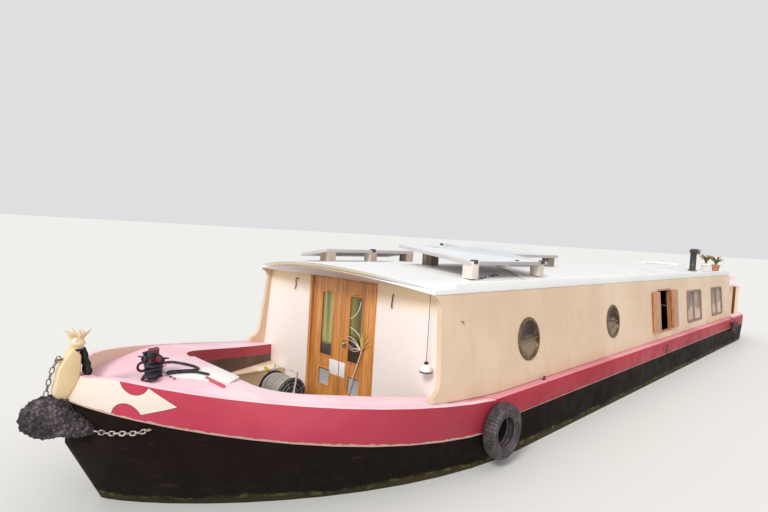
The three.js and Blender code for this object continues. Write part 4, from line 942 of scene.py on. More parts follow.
def soften(piece: bpy.types.Object, width: float, segments: int = 2, angle: float = 35) -> None:
    """Rounds a piece's sharp edges and shades its curved faces smooth.

    Args:
        piece: The piece.
        width: The width of the rounding in metres, or 0 for none.
        segments: The faces across the rounding.
        angle: Edges sharper than this many degrees are rounded.
    """
    only(piece)
    if width:
        bevel = piece.modifiers.new("round", "BEVEL")
        bevel.width = width
        bevel.segments = segments
        bevel.limit_method = "ANGLE"
        bevel.angle_limit = math.radians(angle)
        bevel.use_clamp_overlap = True
        bpy.ops.object.modifier_apply(modifier=bevel.name)
    bpy.ops.object.shade_smooth_by_angle(angle=math.radians(angle))


def block(name: str, low: Vec3, high: Vec3, width: float = 0.003) -> bpy.types.Object:
    """A squared piece between two corners, with rounded edges.

    Args:
        name: The piece's name.
        low: Its lowest corner.
        high: Its highest corner.
        width: The width of the rounding.

    Returns:
        The piece.
    """
    middle = [(a + b) / 2 for a, b in zip(low, high)]
    size = [b - a for a, b in zip(low, high)]
    only_none()
    bpy.ops.mesh.primitive_cube_add(size=1, location=middle, scale=size)
    piece = settle(bpy.context.object, name)
    soften(piece, width)
    return piece


def turned(
    name: str, profile: Sequence[tuple[float, float]], at: Vec3, axis: Vec3 = (0, 0, 1), sides: int = 32
) -> bpy.types.Object:
    """A closed piece of round section, extruded ring by ring from a disc.

    Args:
        name: The piece's name.
        profile: Pairs of radius and height, from the foot up. No radius is 0.
        at: The middle of height 0.
        axis: The direction of the heights.
        sides: The corners of each ring.

    Returns:
        The piece.
    """
    only_none()
    first_radius, first_height = profile[0]
    bpy.ops.mesh.primitive_circle_add(
        vertices=sides, radius=first_radius, fill_type="NGON", location=(0, 0, first_height)
    )
    piece = settle(bpy.context.object, name)
    bpy.ops.object.mode_set(mode="EDIT")
    bpy.ops.mesh.select_all(action="SELECT")
    radius, height = first_radius, first_height
    for next_radius, next_height in profile[1:]:
        bpy.ops.mesh.extrude_region_move(
            TRANSFORM_OT_translate={"value": (0, 0, next_height - height)}
        )
        factor = next_radius / radius
        bpy.ops.transform.resize(value=(factor, factor, 1), center_override=(0, 0, next_height))
        radius, height = next_radius, next_height
    bpy.ops.mesh.select_all(action="SELECT")
    bpy.ops.mesh.normals_make_consistent(inside=False)
    bpy.ops.object.mode_set(mode="OBJECT")
    turn = Vector((0, 0, 1)).rotation_difference(Vector(axis))
    piece.matrix_world = Matrix.Translation(at) @ turn.to_matrix().to_4x4()
    settle(piece, name)
    soften(piece, 0.0)
    return piece


def flowing(points: Sequence[Vec3], steps: int = 6) -> list[Vec3]:
    """The points of a smooth line through a few points, evenly many between each two.

    Args:
        points: The points that it passes through.
        steps: The pieces between two of them.

    Returns:
        The line's points.
    """
    ends = [Vector(points[0]), *(Vector(point) for point in points), Vector(points[-1])]
    found: list[Vec3] = []
    for before, start, end, after in zip(ends, ends[1:], ends[2:], ends[3:]):
        for step in range(steps):
            t = step / steps
            place = 0.5 * (
                2 * start
                + (end - before) * t
                + (2 * before - 5 * start + 4 * end - after) * t**2
                + (3 * start - before - 3 * end + after) * t**3
            )
            found.append(tuple(place))
    return [*found, tuple(points[-1])]


def ring(middle: Vec3, across: Vec3, up: Vec3, count: int) -> list[Vec3]:
    """Points evenly round a ring.

    Args:
        middle: Its middle.
        across: Its radius to the first point.
        up: Its radius a quarter turn on.
        count: The number of points.

    Returns:
        The points.
    """
    turn = 2 * math.pi / count
    return [
        tuple(m + a * math.cos(i * turn) + u * math.sin(i * turn) for m, a, u in zip(middle, across, up))
        for i in range(count)
    ]


def shifted(base: Vec3, points: Iterable[Vec3]) -> list[Vec3]:
    """Points that are given from a base, in the frame's place."""
    return [tuple(a + b for a, b in zip(base, point)) for point in points]


def curve(
    name: str,
    points: Sequence[Vec3],
    radius: float,
    route: Route = Route.NEAR,
    closed: bool = False,
    taper: Sequence[float] | None = None,
) -> bpy.types.Object:
    """A round bar as a curve of one spline.

    Args:
        name: The piece's name.
        points: The points that it follows.
        radius: The bar's radius.
        route: How it follows them.
        closed: Whether it joins its own end.
        taper: The share of the radius at each point.

    Returns:
        The curve.
    """
    through = route is Route.THROUGH
    data = bpy.data.curves.new(name, "CURVE")
    data.dimensions = "3D"
    data.bevel_depth = radius
    data.bevel_resolution, data.resolution_u = (2, 5) if through else (3, 6)
    data.use_fill_caps = True
    spline = data.splines.new(route.value)
    stops = spline.bezier_points if through else spline.points
    stops.add(len(points) - 1)
    for index, (stop, place) in enumerate(zip(stops, points)):
        stop.co = place if through else (*place, 1.0)
        if through:
            stop.handle_left_type = stop.handle_right_type = "AUTO"
        if taper:
            stop.radius = taper[index]
    if route is Route.NEAR:
        spline.order_u = 3
        spline.use_endpoint_u = True
    spline.use_cyclic_u = closed
    piece = bpy.data.objects.new(name, data)
    bpy.context.scene.collection.objects.link(piece)
    return piece


def meshed(piece: bpy.types.Object) -> bpy.types.Object:
    """Turns a curve into a mesh that is smooth along its bends.

    Args:
        piece: The curve.

    Returns:
        The mesh's object.
    """
    only(piece)
    bpy.ops.object.convert(target="MESH")
    found = only(bpy.context.object)
    bpy.ops.object.shade_smooth_by_angle(angle=math.radians(50))
    return found


def rod(
    name: str,
    points: Sequence[Vec3],
    radius: float,
    closed: bool = False,
    taper: Sequence[float] | None = None,
) -> bpy.types.Object:
    """A round bar or leaf as a mesh that passes through all its points."""
    return meshed(curve(name, points, radius, Route.THROUGH, closed, taper))


def bar(name: str, points: Sequence[Vec3], radius: float) -> bpy.types.Object:
    """A long round bar as a mesh that passes near its points."""
    return meshed(curve(name, points, radius))


def merged(name: str, pieces: Iterable[bpy.types.Object]) -> bpy.types.Object:
    """Joins pieces into one object.

    Args:
        name: The object's name.
        pieces: The pieces.

    Returns:
        The object.
    """
    found = list(pieces)
    only(*found)
    if len(found) > 1:
        bpy.ops.object.join()
    found[0].name = name
    found[0].data.name = name
    return found[0]


def paint(piece: bpy.types.Object, finish: Finish, *others: tuple[Rule, Finish]) -> None:
    """Gives a piece its finish, and other finishes where a rule picks its faces.

    Args:
        piece: The piece.
        finish: The finish of all its faces.
        *others: Pairs of a rule on a face's middle and normal, and the finish it gets.
    """
    data = piece.data
    data.materials.clear()
    data.materials.append(finish.material())
    for _, other in others:
        data.materials.append(other.material())
    if piece.type != "MESH":
        return
    for face in data.polygons:
        face.material_index = 0
        for index, (rule, _) in enumerate(others):
            if rule(face.center, face.normal):
                face.material_index = index + 1


def carry(piece: bpy.types.Object, finish: Finish, body: str = HULL) -> bpy.types.Object:
    """Dresses a new piece in one finish and lets it ride on a body.

    Args:
        piece: The piece.
        finish: Its finish, unless it is painted already.
        body: The body that carries it.

    Returns:
        The piece.
    """
    if piece.type != "MESH" or not piece.data.materials:
        paint(piece, finish)
    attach(piece, body)
    LOG.info("%s rides on %s", piece.name, body)
    return piece


class Frame:
    """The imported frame, and the copies of its nodes that are refined and shown instead."""

    def __init__(self) -> None:
        """Loads the frame."""
        self.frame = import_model()
        self.nodes = self.frame["nodes"]
        self.body_of = {
            node: body
            for body, nodes in self.frame["record"]["behaviour"]["bodies"].items()
            for node in nodes
        }
        self.dressed: set[str] = set()

    def top(self, node: str, x: float, y: float) -> float:
        """The height of a node's upper surface at a place.

        Args:
            node: The node.
            x: The place's distance forward.
            y: Its distance to port.

        Returns:
            The height.
        """
        data = self.nodes[node].data
        faces = [tuple(face.vertices) for face in data.polygons]
        tree = BVHTree.FromPolygons([vertex.co for vertex in data.vertices], faces)
        return tree.ray_cast(Vector((x, y, 10.0)), Vector((0.0, 0.0, -1.0)))[0].z

    def stand_in(self, piece: bpy.types.Object, finish: Finish, node: str) -> None:
        """Shows a piece instead of a node, on the node's body.

        Args:
            piece: The piece.
            finish: Its finish, unless it is painted already.
            node: The node.
        """
        carry(piece, finish, self.body_of[node])
        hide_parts(node)
        self.dressed.add(node)
        LOG.info("%s stands for %s", piece.name, node)

    def refine(
        self,
        node: str,
        finish: Finish,
        *others: tuple[Rule, Finish],
        width: float = 0.0,
        segments: int = 2,
        angle: float = 32,
    ) -> bpy.types.Object:
        """A copy of a node with merged vertices, rounded edges and smooth curves.

        Args:
            node: The node that the copy stands for.
            finish: The finish of its faces.
            *others: Pairs of a rule and the finish of the faces that it picks.
            width: The width of the rounding of its edges.
            segments: The faces across the rounding.
            angle: Edges sharper than this many degrees stay edges.

        Returns:
            The copy, which rides on the node's body.
        """
        source = self.nodes[node]
        piece = source.copy()
        piece.data = source.data.copy()
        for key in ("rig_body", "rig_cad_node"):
            if key in piece:
                del piece[key]
        piece.parent = None
        bpy.context.scene.collection.objects.link(piece)
        piece.name = node + "_surface"
        piece.data.name = piece.name
        only(piece)
        bpy.ops.object.mode_set(mode="EDIT")
        bpy.ops.mesh.select_all(action="SELECT")
        bpy.ops.mesh.remove_doubles(threshold=0.00002)
        bpy.ops.mesh.dissolve_limited(angle_limit=math.radians(0.6))
        bpy.ops.object.mode_set(mode="OBJECT")
        soften(piece, width, segments, angle)
        paint(piece, finish, *others)
        self.stand_in(piece, finish, node)
        return piece


# Sub-assemblies


@dataclass
class Assembly:
    """A part of the boat that is dressed over the frame."""

    frame: Frame

    def build(self) -> None:
        """Makes and dresses its pieces."""
        raise NotImplementedError


@dataclass
class BowCurve:
    """A plan outline of the bow: x = start + length sin t, y = half cos t to a power."""

    half: float
    start: float
    length: float
    power: float

    def point(self, turn: float) -> tuple[float, float]:
        """One point of the outline.

        Args:
            turn: From 0 amidships to 1 at the stem.

        Returns:
            The distance forward and the half width.
        """
        angle = turn * math.pi / 2
        wide = self.half * max(0.0, math.cos(angle)) ** (2 * self.power)
        return self.start + self.length * math.sin(angle), wide


@dataclass
class Hull(Assembly):
    """Hull shell, bands and decks."""

    foot: BowCurve = field(default_factory=lambda: BowCurve(1.614, 4.33, 3.299, 0.645))
    top: BowCurve = field(default_factory=lambda: BowCurve(1.614, 4.33, 3.214, 0.535))
    band_depth: float = 0.262
    band_join: float = 4.449
    side_foot: float = 1.0
    side_top: float = 1.22
    shoulder: float = 4.13
    well_aft: float = 4.9
    well_fore: float = 6.5
    coaming_half: float = 1.30

    def gunwale(self, x: float) -> float:
        """The band's top, which rises to the stem and dips behind it.

        Args:
            x: The distance forward.

        Returns:
            The height.
        """
        sheer = self.side_top + 0.42 * (max(0.0, x - self.shoulder) / 3.43) ** 1.5
        return min(sheer, 1.617 - 0.5 * (x - 7.45))

    def band_foot(self, x: float) -> float:
        """The band's foot, which drops where the bow's deeper band begins and rises to the stem.

        Args:
            x: The distance forward.

        Returns:
            The height.
        """
        if x < self.band_join:
            return self.side_foot
        return 0.93 + 0.49 * ((x - self.shoulder) / 3.52) ** 1.8

    def unroll(self, piece: bpy.types.Object) -> None:
        """Gives a band a UV map of its distance from the stem and its height over its foot.

        Args:
            piece: The band.
        """
        steps = 240
        line = [
            tuple((a + b) / 2 for a, b in zip(self.foot.point(i / steps), self.top.point(i / steps)))
            for i in range(steps, -1, -1)
        ]
        arc = [0.0]
        for first, second in zip(line, line[1:]):
            arc.append(arc[-1] + math.dist(first, second))

        def distance(x: float, y: float) -> float:
            """The distance along the band from the stem to a point beside it.

            Args:
                x: The point's distance forward.
                y: Its distance to port.

            Returns:
                The distance along the band.
            """
            if x < line[-1][0]:
                return arc[-1] + line[-1][0] - x
            near = min(range(len(line)), key=lambda i: math.dist(line[i], (x, abs(y))))
            return arc[near]

        table = []
        for vertex in piece.data.vertices:
            x, y, z = vertex.co
            span = self.gunwale(x) - self.band_foot(x)
            table.append((distance(x, y), (z - self.band_foot(x)) / span * self.band_depth))
        layer = piece.data.uv_layers.new(name="band")
        for loop in piece.data.loops:
            layer.data[loop.index].uv = table[loop.vertex_index]

    def build(self) -> None:
        """Dresses the hull, its bands and decks."""
        upward: Rule = lambda at, normal: normal.z > 0.7
        inboard: Rule = lambda at, normal: normal.y * at.y < -0.05 and abs(normal.z) < 0.6
        for node, finish, top in (
            ("bow_band", CRIMSON_BOW, DECK_PINK), ("gunwale_band", CRIMSON, DECK_ROSE)
        ):
            piece = self.frame.refine(
                node, finish, (upward, top), (inboard, BEIGE), width=0.006
            )
            self.unroll(piece)
        inside: Rule = lambda at, normal: (
            self.well_aft < at.x < self.well_fore and 0.70 < at.z < 0.78 and normal.z > 0.7
        )
        walls: Rule = lambda at, normal: (
            self.well_aft + 0.12 < at.x < self.well_fore
            and at.z > 0.75
            and abs(normal.z) < 0.5
            and (normal.y * at.y < -0.02 or normal.x < -0.8)
        )
        self.frame.refine(
            "hull_shell", BLACKING, (inside, WELL_GREY), (walls, BEIGE), angle=38
        )
        coaming: Rule = lambda at, normal: (
            abs(normal.z) < 0.5 and abs(at.y) < self.coaming_half and at.x < self.well_fore - 0.05
        )
        self.frame.refine("foredeck", DECK_PINK, (coaming, COAMING))
        for name, tone in (
            ("side_deck_port", DECK_ROSE), ("side_deck_starboard", DECK_ROSE), ("stern_deck", DECK_PINK)
        ):
            self.frame.refine(name, tone)


@dataclass
class BowGear(Assembly):
    """Stem post, finial, fender, mooring stud and deck plate."""

    knot: float = 0.034
    knot_rise: float = 0.026
    stud: Vec3 = (7.0, 0.0, 1.486)
    rope: float = 0.012
    turns: int = 6
    turn_steps: int = 14
    loops: tuple[tuple[Vec3, float, tuple[float, float]], ...] = (
        ((0.090, 0.010, 0.084), 0.034, (0.0, 1.0)),
        ((0.075, 0.120, 0.010), 0.052, (1.0, 0.0)),
        ((0.070, 0.112, 0.028), 0.046, (1.0, 0.15)),
        ((0.030, -0.020, 0.186), 0.040, (0.8, 0.3)),
    )
    pin: Points = (
        (7.0875, -0.090, 1.632), (7.070, -0.072, 1.630), (6.930, 0.072, 1.630), (6.9125, 0.090, 1.632),
    )
    finial: Vec3 = (7.55, 0.0, 0.0)
    finial_foot: Pairs = (
        (0.034, 1.752), (0.040, 1.768), (0.035, 1.783), (0.050, 1.797),
        (0.053, 1.812), (0.040, 1.830), (0.020, 1.848),
    )
    leaves: tuple[Pairs, ...] = (
        ((7.552, 1.822), (7.590, 1.874), (7.639, 1.906)),
        ((7.558, 1.818), (7.592, 1.862), (7.630, 1.882)),
        ((7.566, 1.814), (7.592, 1.844), (7.616, 1.852)),
        ((7.548, 1.824), (7.566, 1.882), (7.590, 1.926)),
        ((7.544, 1.824), (7.540, 1.872), (7.552, 1.918)),
        ((7.536, 1.822), (7.514, 1.868), (7.522, 1.908)),
        ((7.530, 1.818), (7.498, 1.862), (7.470, 1.878), (7.444, 1.898)),
    )
    bud: Pairs = ((0.007, -0.016), (0.015, -0.010), (0.018, 0.0), (0.015, 0.010), (0.007, 0.016))
    bud_at: Vec3 = (0.022, 0.026, 1.836)
    neck: Vec3 = (7.546, 0.0, 1.764)
    strands: int = 9
    bolt: Pairs = ((0.011, -0.002), (0.011, 0.003), (0.007, 0.006))
    bolts: Points = ((6.90, 0.171, 1.485), (6.902, 0.109, 1.485))
    batten: Points = ((6.680, 0.290, 1.476), (6.702, 0.580, 1.497))

    def fender(self) -> None:
        """Makes the knotted surface of the button fender."""
        piece = self.frame.refine("bow_fender", KNOTS)
        remesh = piece.modifiers.new("even", "REMESH")
        remesh.mode = "VOXEL"
        remesh.voxel_size = 0.011
        only(piece)
        bpy.ops.object.modifier_apply(modifier=remesh.name)
        texture = bpy.data.textures.new("knots", "VORONOI")
        texture.noise_scale = self.knot
        texture.distance_metric = "DISTANCE"
        push = piece.modifiers.new("knots", "DISPLACE")
        push.texture = texture
        push.texture_coords = "LOCAL"
        push.strength = -self.knot_rise
        push.mid_level = 0.35
        bpy.ops.object.modifier_apply(modifier=push.name)
        bpy.ops.object.shade_smooth()
        paint(piece, KNOTS)

    def stud_rope(self) -> None:
        """Winds the rope round the mooring stud and over its crossbar."""
        x, y, z = self.stud
        round_stud: list[Vec3] = []
        for i in range(self.turns * self.turn_steps + 1):
            angle = 2 * math.pi * i / self.turn_steps
            layer = 0.060 + 0.012 * math.sin(i * 0.9) + 0.008 * math.sin(i * 0.23)
            rise = z + 0.012 + 0.020 * i / self.turn_steps + 0.010 * math.sin(i * 0.61)
            round_stud.append((x + layer * math.cos(angle), y + layer * math.sin(angle), rise))
        pieces = [bar("stud_turns", round_stud, self.rope)]
        for side in Side:
            eight: list[Vec3] = []
            for i in range(49):
                angle = 2 * math.pi * i / 16
                wide = 0.052 + 0.008 * (i % 5 == 0)
                reach = 0.035 + 0.045 * (0.5 + 0.5 * math.cos(angle * 0.5))
                rise = z + 0.142 + 0.040 * math.sin(angle + side.value) + 0.008 * i / 16
                eight.append((x + wide * math.cos(angle), y + side.value * reach, rise))
            pieces.append(bar("stud_eight", eight, self.rope))
        for place, wide, (level, upright) in self.loops:
            middle = shifted(self.stud, [place])[0]
            loop = ring(middle, (wide, 0, 0), (0, wide * level, wide * upright), 8)
            pieces.append(rod("stud_loop", loop, 0.010, closed=True))
        self.frame.stand_in(merged("stud_rope_wound", pieces), ROPE, "stud_rope_turns")
        carry(rod("stud_pin", self.pin, 0.008, taper=(0.6, 1.0, 1.0, 0.6)), IRON)

    def leafy_finial(self) -> None:
        """Makes the spray of leaves on top of the stem post."""
        x, y = self.finial[:2]
        pieces = [turned("finial_foot", self.finial_foot, self.finial, sides=24)]
        for index, route in enumerate(self.leaves):
            sway = 0.020 * math.sin(1.9 * index)
            points = [(px, y + sway * step, pz) for step, (px, pz) in enumerate(route)]
            taper = (0.9, 1.0, 0.2) if len(points) == 3 else (0.9, 1.1, 0.8, 0.2)
            pieces.append(rod("finial_leaf", points, 0.012, taper=taper))
        self.frame.stand_in(merged("stem_finial_spray", pieces), STEM_CREAM, "stem_finial")
        out, aside, height = self.bud_at
        carry(turned("finial_bud", self.bud, (x + out, y + aside, height), (0.6, 0.7, 0.3), 20), CARD)

    def hank(self) -> None:
        """Hangs the hank of rope behind the post, from the finial's neck."""
        neck = ring(self.neck, (0.043, 0, 0), (0, 0.041, 0), 10)
        pieces = [rod("neck_loop", neck, 0.010, closed=True)]
        for i in range(self.strands):
            side = (i - 4) / 4
            lean = 0.010 * math.sin(2.4 * i)
            strand = [
                (7.514 + 0.5 * lean, 0.028 * side, 1.766),
                (7.504 + lean, 0.044 * side, 1.715),
                (7.490 - lean, 0.050 * side + lean, 1.655),
                (7.482 + 1.3 * lean, 0.052 * side - lean, 1.600),
                (7.484 - lean, 0.036 * side, 1.548 + 0.014 * math.cos(1.7 * i)),
            ]
            pieces.append(rod("hank_strand", strand, 0.012, taper=(0.8, 1.0, 1.15, 1.1, 0.7)))
        self.frame.stand_in(merged("stem_lashing_hank", pieces), HANK_ROPE, "stem_lashing")

    def deck_trim(self) -> None:
        """Fits the plate's bolts and the batten behind it."""
        heads = [turned("plate_bolt", self.bolt, place, sides=12) for place in self.bolts]
        carry(merged("plate_bolts", heads), RUST)
        carry(block("deck_batten", *self.batten, 0.004), CRIMSON_PLAIN)

    def build(self) -> None:
        """Dresses the gear on the bow."""
        self.frame.refine("stem_chain", RUSTY_CHAIN, angle=60)
        for side in Side:
            self.frame.refine("fender_chain_" + side.label, CHAIN_GREY, angle=60)
        self.frame.refine("stem_post", STEM_CREAM, width=0.012, segments=3)
        self.frame.refine("mooring_stud", CRIMSON_DARK, width=0.002)
        self.frame.refine("foredeck_plate", PLATE_WHITE, width=0.003)
        self.fender()
        self.stud_rope()
        self.leafy_finial()
        self.hank()
        self.deck_trim()


@dataclass
class WellDeck(Assembly):
    """Locker and hose reel in the well deck."""

    reel: Vec3 = (5.44, -0.42, 0.975)
    drum: float = 0.153
    hose: float = 0.0125
    turns: int = 12
    turn_steps: int = 16
    cheek: float = 0.171
    rim: Pairs = ((0.150, -0.004), (0.182, -0.004), (0.184, 0.0), (0.182, 0.004), (0.150, 0.004))
    hub: Pairs = ((0.055, -0.168), (0.06, -0.15), (0.06, 0.168))
    rings: Vec3 = (0.168, 0.128, 0.088)
    spokes: int = 8
    spoke: tuple[float, ...] = (0.03, 0.08, 0.13, 0.165)
    wire: float = 0.004
    fitting: Pairs = ((0.020, 0.0), (0.028, 0.002), (0.028, 0.006), (0.020, 0.008), (0.012, 0.0085))
    tap_stem: Points = ((5.462, -0.628, 1.120), (5.475, -0.632, 1.140), (5.490, -0.636, 1.158))
    tap: Pairs = (
        (0.010, 0.0), (0.020, 0.006), (0.021, 0.030), (0.014, 0.038), (0.015, 0.056), (0.009, 0.060),
    )
    tap_at: Vec3 = (5.488, -0.636, 1.150)

    def cheeks(self) -> None:
        """Makes the reel's cheeks, with the rings and spokes of the near one."""
        x, y, z = self.reel
        across: Vec3 = (0, 1, 0)
        pieces = [
            turned("reel_cheek", self.rim, (x, y + end, z), across, 40)
            for end in (-self.cheek, self.cheek)
        ]
        pieces.append(turned("reel_hub", self.hub, self.reel, across, 24))
        self.frame.stand_in(merged("hose_reel_cheeks", pieces), HOSE_DARK, "hose_reel_drum")
        wires = []
        for wide in self.rings:
            circle = ring((x, y + 0.175, z), (wide, 0, 0), (0, 0, wide), 16)
            wires.append(rod("cheek_ring", circle, self.wire, closed=True))
        for i in range(self.spokes):
            angle = math.radians(22 + 45 * i)
            spoke = [
                (x + wide * math.cos(angle), y + 0.174, z + wide * math.sin(angle))
                for wide in self.spoke
            ]
            wires.append(rod("cheek_spoke", spoke, self.wire))
        carry(merged("hose_reel_rings", wires), FLANGE_GREY, "hose_drum")

    def hose_reel(self) -> None:
        """Dresses the reel, winds the hose on its drum and fits the tap."""
        x, y, z = self.reel
        self.frame.refine("hose_reel_stand", ZINC, angle=50)
        self.cheeks()
        points: list[Vec3] = []
        count = self.turns * self.turn_steps
        for i in range(count):
            share = i / count
            bulge = 0.008 * math.sin(math.pi * share)
            bulge += 0.006 * math.sin(0.37 * i) + 0.003 * math.sin(1.1 * i)
            radius = self.drum + bulge
            angle = 2 * math.pi * (i / self.turn_steps)
            along = y - 0.150 + 0.300 * share + 0.004 * math.sin(0.23 * i)
            points.append((x + radius * math.cos(angle), along, z + radius * math.sin(angle)))
        carry(bar("hose_wound", points, self.hose), HOSE, "hose_drum")
        fitting = turned("hose_fitting", self.fitting, (x, y + 0.170, z), (0, 1, 0), 20)
        carry(fitting, YELLOW, "hose_drum")
        carry(rod("tap_stem", self.tap_stem, 0.008), RUST)
        carry(turned("tap_fitting", self.tap, self.tap_at, (0.5, -0.2, 0.8), 20), YELLOW)

    def build(self) -> None:
        """Dresses the well deck's gear."""
        above: Rule = lambda at, normal: normal.z > 0.7
        self.frame.refine("well_locker", PLY, (above, LOCKER_TOP), width=0.003)
        self.frame.refine("well_locker_lid", LID_CREAM, width=0.003)
        self.hose_reel()


@dataclass
class FrontEnd(Assembly):
    """Front bulkhead, doors and what hangs on them."""

    face_x: float = 5.030
    leaf_x: float = 5.018
    glass_x: float = 4.998
    glass_split: float = 1.3
    bead: float = 0.007
    panes: tuple[Pairs, ...] = (((0.128, 0.330), (1.354, 2.060)), ((0.148, 0.335), (1.020, 1.210)))
    drip: Pairs = ((-0.560, 2.262), (0.545, 2.288))
    hook_starboard: Points = (
        (0.0, -0.775, 2.146), (0.014, -0.790, 2.150), (0.020, -0.803, 2.120),
        (0.012, -0.806, 2.070), (0.020, -0.812, 2.030), (0.034, -0.800, 2.026),
    )
    hook_port: Points = (
        (0.0, 0.750, 2.155), (0.016, 0.756, 2.130), (0.010, 0.748, 2.092), (0.022, 0.753, 2.052),
        (0.008, 0.746, 2.012),
    )
    knob: Pairs = (
        (0.012, -0.002), (0.014, 0.004), (0.008, 0.008), (0.009, 0.016), (0.018, 0.022),
        (0.020, 0.030), (0.014, 0.036), (0.004, 0.038),
    )
    knob_at: tuple[float, float] = (0.076, 1.534)
    knob_ring: float = 0.037
    glass_bars: tuple[Pairs, ...] = (
        ((0.130, 1.811), (0.219, 1.874), (0.262, 1.949), (0.278, 2.009)),
        ((0.130, 1.721), (0.220, 1.692), (0.281, 1.649), (0.306, 1.605)),
    )
    sprig_out: float = 0.016
    stick: Pairs = ((0.362, 1.520), (0.290, 1.320), (0.220, 1.120), (0.148, 0.917), (0.112, 0.812))
    fork: tuple[float, float] = (0.345, 1.524)
    twigs: Pairs = (
        (0.166, 1.637), (0.100, 1.622), (0.058, 1.595), (0.120, 1.560), (0.160, 1.519), (0.215, 1.500),
    )
    tuft: tuple[float, float] = (0.362, 1.515)
    blades: Pairs = (
        (0.300, 1.700), (0.335, 1.745), (0.365, 1.700), (0.390, 1.752), (0.420, 1.690),
        (0.445, 1.735), (0.470, 1.660), (0.478, 1.600), (0.430, 1.620), (0.330, 1.640),
    )
    card_edges: Pairs = ((0.006, 0.098), (-0.158, -0.006))
    card_span: tuple[float, float] = (1.170, 1.330)

    def beads(self, side: Side) -> None:
        """Fits the beads round the panes of one leaf.

        Args:
            side: The leaf's side.
        """
        back, front, half = self.leaf_x - 0.004, self.leaf_x + self.bead, self.bead
        pieces = []
        for (near, far), (low, high) in self.panes:
            ys = sorted((side.value * near, side.value * far))
            for y in ys:
                pieces.append(block("bead", (back, y - half, low), (front, y + half, high)))
            for z in (low, high):
                pieces.append(
                    block("bead", (back, ys[0] - half, z - half), (front, ys[1] + half, z + half))
                )
        carry(merged("door_beads_" + side.label, pieces), OAK, "front_door_" + side.label)

    def trim(self) -> None:
        """Fits the drip board and the two wall hooks."""
        face = self.face_x
        (low_y, low_z), (high_y, high_z) = self.drip
        drip = block("door_drip", (face - 0.002, low_y, low_z), (face + 0.026, high_y, high_z), 0.004)
        carry(drip, DARK_OAK)
        for side, route in (("starboard", self.hook_starboard), ("port", self.hook_port)):
            points = [(face - 0.002 + out, y, z) for out, y, z in route]
            carry(rod("wall_hook_" + side, points, 0.006), IRON)

    def handle(self, body: str) -> None:
        """Fits the knob with its ring on the port leaf.

        Args:
            body: The leaf's body.
        """
        front = self.leaf_x
        y, z = self.knob_at
        knob = turned("door_knob", self.knob, (front, y, z), (1, 0, 0), 24)
        circle = ring((front + 0.005, y, z), (0, self.knob_ring, 0), (0, 0, self.knob_ring), 12)
        carry(merged("door_handle", [knob, rod("knob_ring", circle, 0.003, closed=True)]), BRASS, body)

    def sprig(self, body: str) -> None:
        """Fits the dry sprig and its tuft on the port leaf.

        Args:
            body: The leaf's body.
        """
        out = self.leaf_x + self.sprig_out
        stick = [(out, y, z) for y, z in self.stick]
        pieces = [rod("stick", stick, 0.0065, taper=(0.8, 1.0, 1.0, 0.9, 0.6))]
        fork_y, fork_z = self.fork
        for index, (y, z) in enumerate(self.twigs):
            lift = 0.045 * math.sin(1.3 * index)
            twig = [
                (out, fork_y, fork_z),
                (out + 0.004, (fork_y + y) / 2, (fork_z + 0.016 + z) / 2 + lift),
                (out + 0.006, y, z),
            ]
            pieces.append(rod("twig", twig, 0.0035, taper=(1.0, 0.9, 0.5)))
        carry(merged("door_sprig", pieces), TWIG, body)
        root_y, root_z = self.tuft
        leaves = []
        for index, (y, z) in enumerate(self.blades):
            route = [
                (out, root_y, root_z),
                (out + 0.006, root_y + 0.35 * (y - root_y), root_z + 0.55 * (z - root_z)),
                (out + 0.003 * (index % 3), y, z),
            ]
            leaves.append(rod("leaf_blade", route, 0.0055, taper=(0.6, 1.0, 0.2)))
        carry(merged("door_tuft", leaves), DRY_LEAF, body)

    def port_leaf(self) -> None:
        """Fits the knob, the curved glazing bars and the sprig on the port leaf."""
        body = "front_door_port"
        self.handle(body)
        bars = [rod("glass_bar", [(5.0, y, z) for y, z in route], 0.005) for route in self.glass_bars]
        carry(merged("curved_glass_bars", bars), CARD, body)
        self.sprig(body)

    def card(self) -> None:
        """Pins the blank card's two halves beside the doors' meeting edge."""
        back, front = self.leaf_x - 0.001, self.leaf_x + 0.002
        bottom, top = self.card_span
        for side, (low, high) in zip(Side, self.card_edges):
            half = block("card_" + side.label, (back, low, bottom), (front, high, top), 0.0008)
            carry(half, CARD, "front_door_" + side.label)

    def build(self) -> None:
        """Dresses the bulkhead and doors."""
        self.frame.refine("front_bulkhead", BULKHEAD_WHITE)
        outer: Rule = lambda at, normal: normal.x > 0.5 and abs(at.y) > 0.515
        self.frame.refine("front_door_frame", OAK, (outer, DARK_OAK), width=0.003)
        pane: Rule = lambda at, normal: abs(at.x - self.glass_x) < 0.006
        upper: Rule = lambda at, normal: pane(at, normal) and at.z > self.glass_split
        lower: Rule = lambda at, normal: pane(at, normal) and at.z <= self.glass_split
        for side in Side:
            glass = DOOR_GLASS_PORT if side is Side.PORT else DOOR_GLASS
            self.frame.refine(
                "front_door_" + side.label, OAK, (upper, glass), (lower, FROSTED), width=0.0015
            )
            self.beads(side)
        self.trim()
        self.port_leaf()
        self.card()


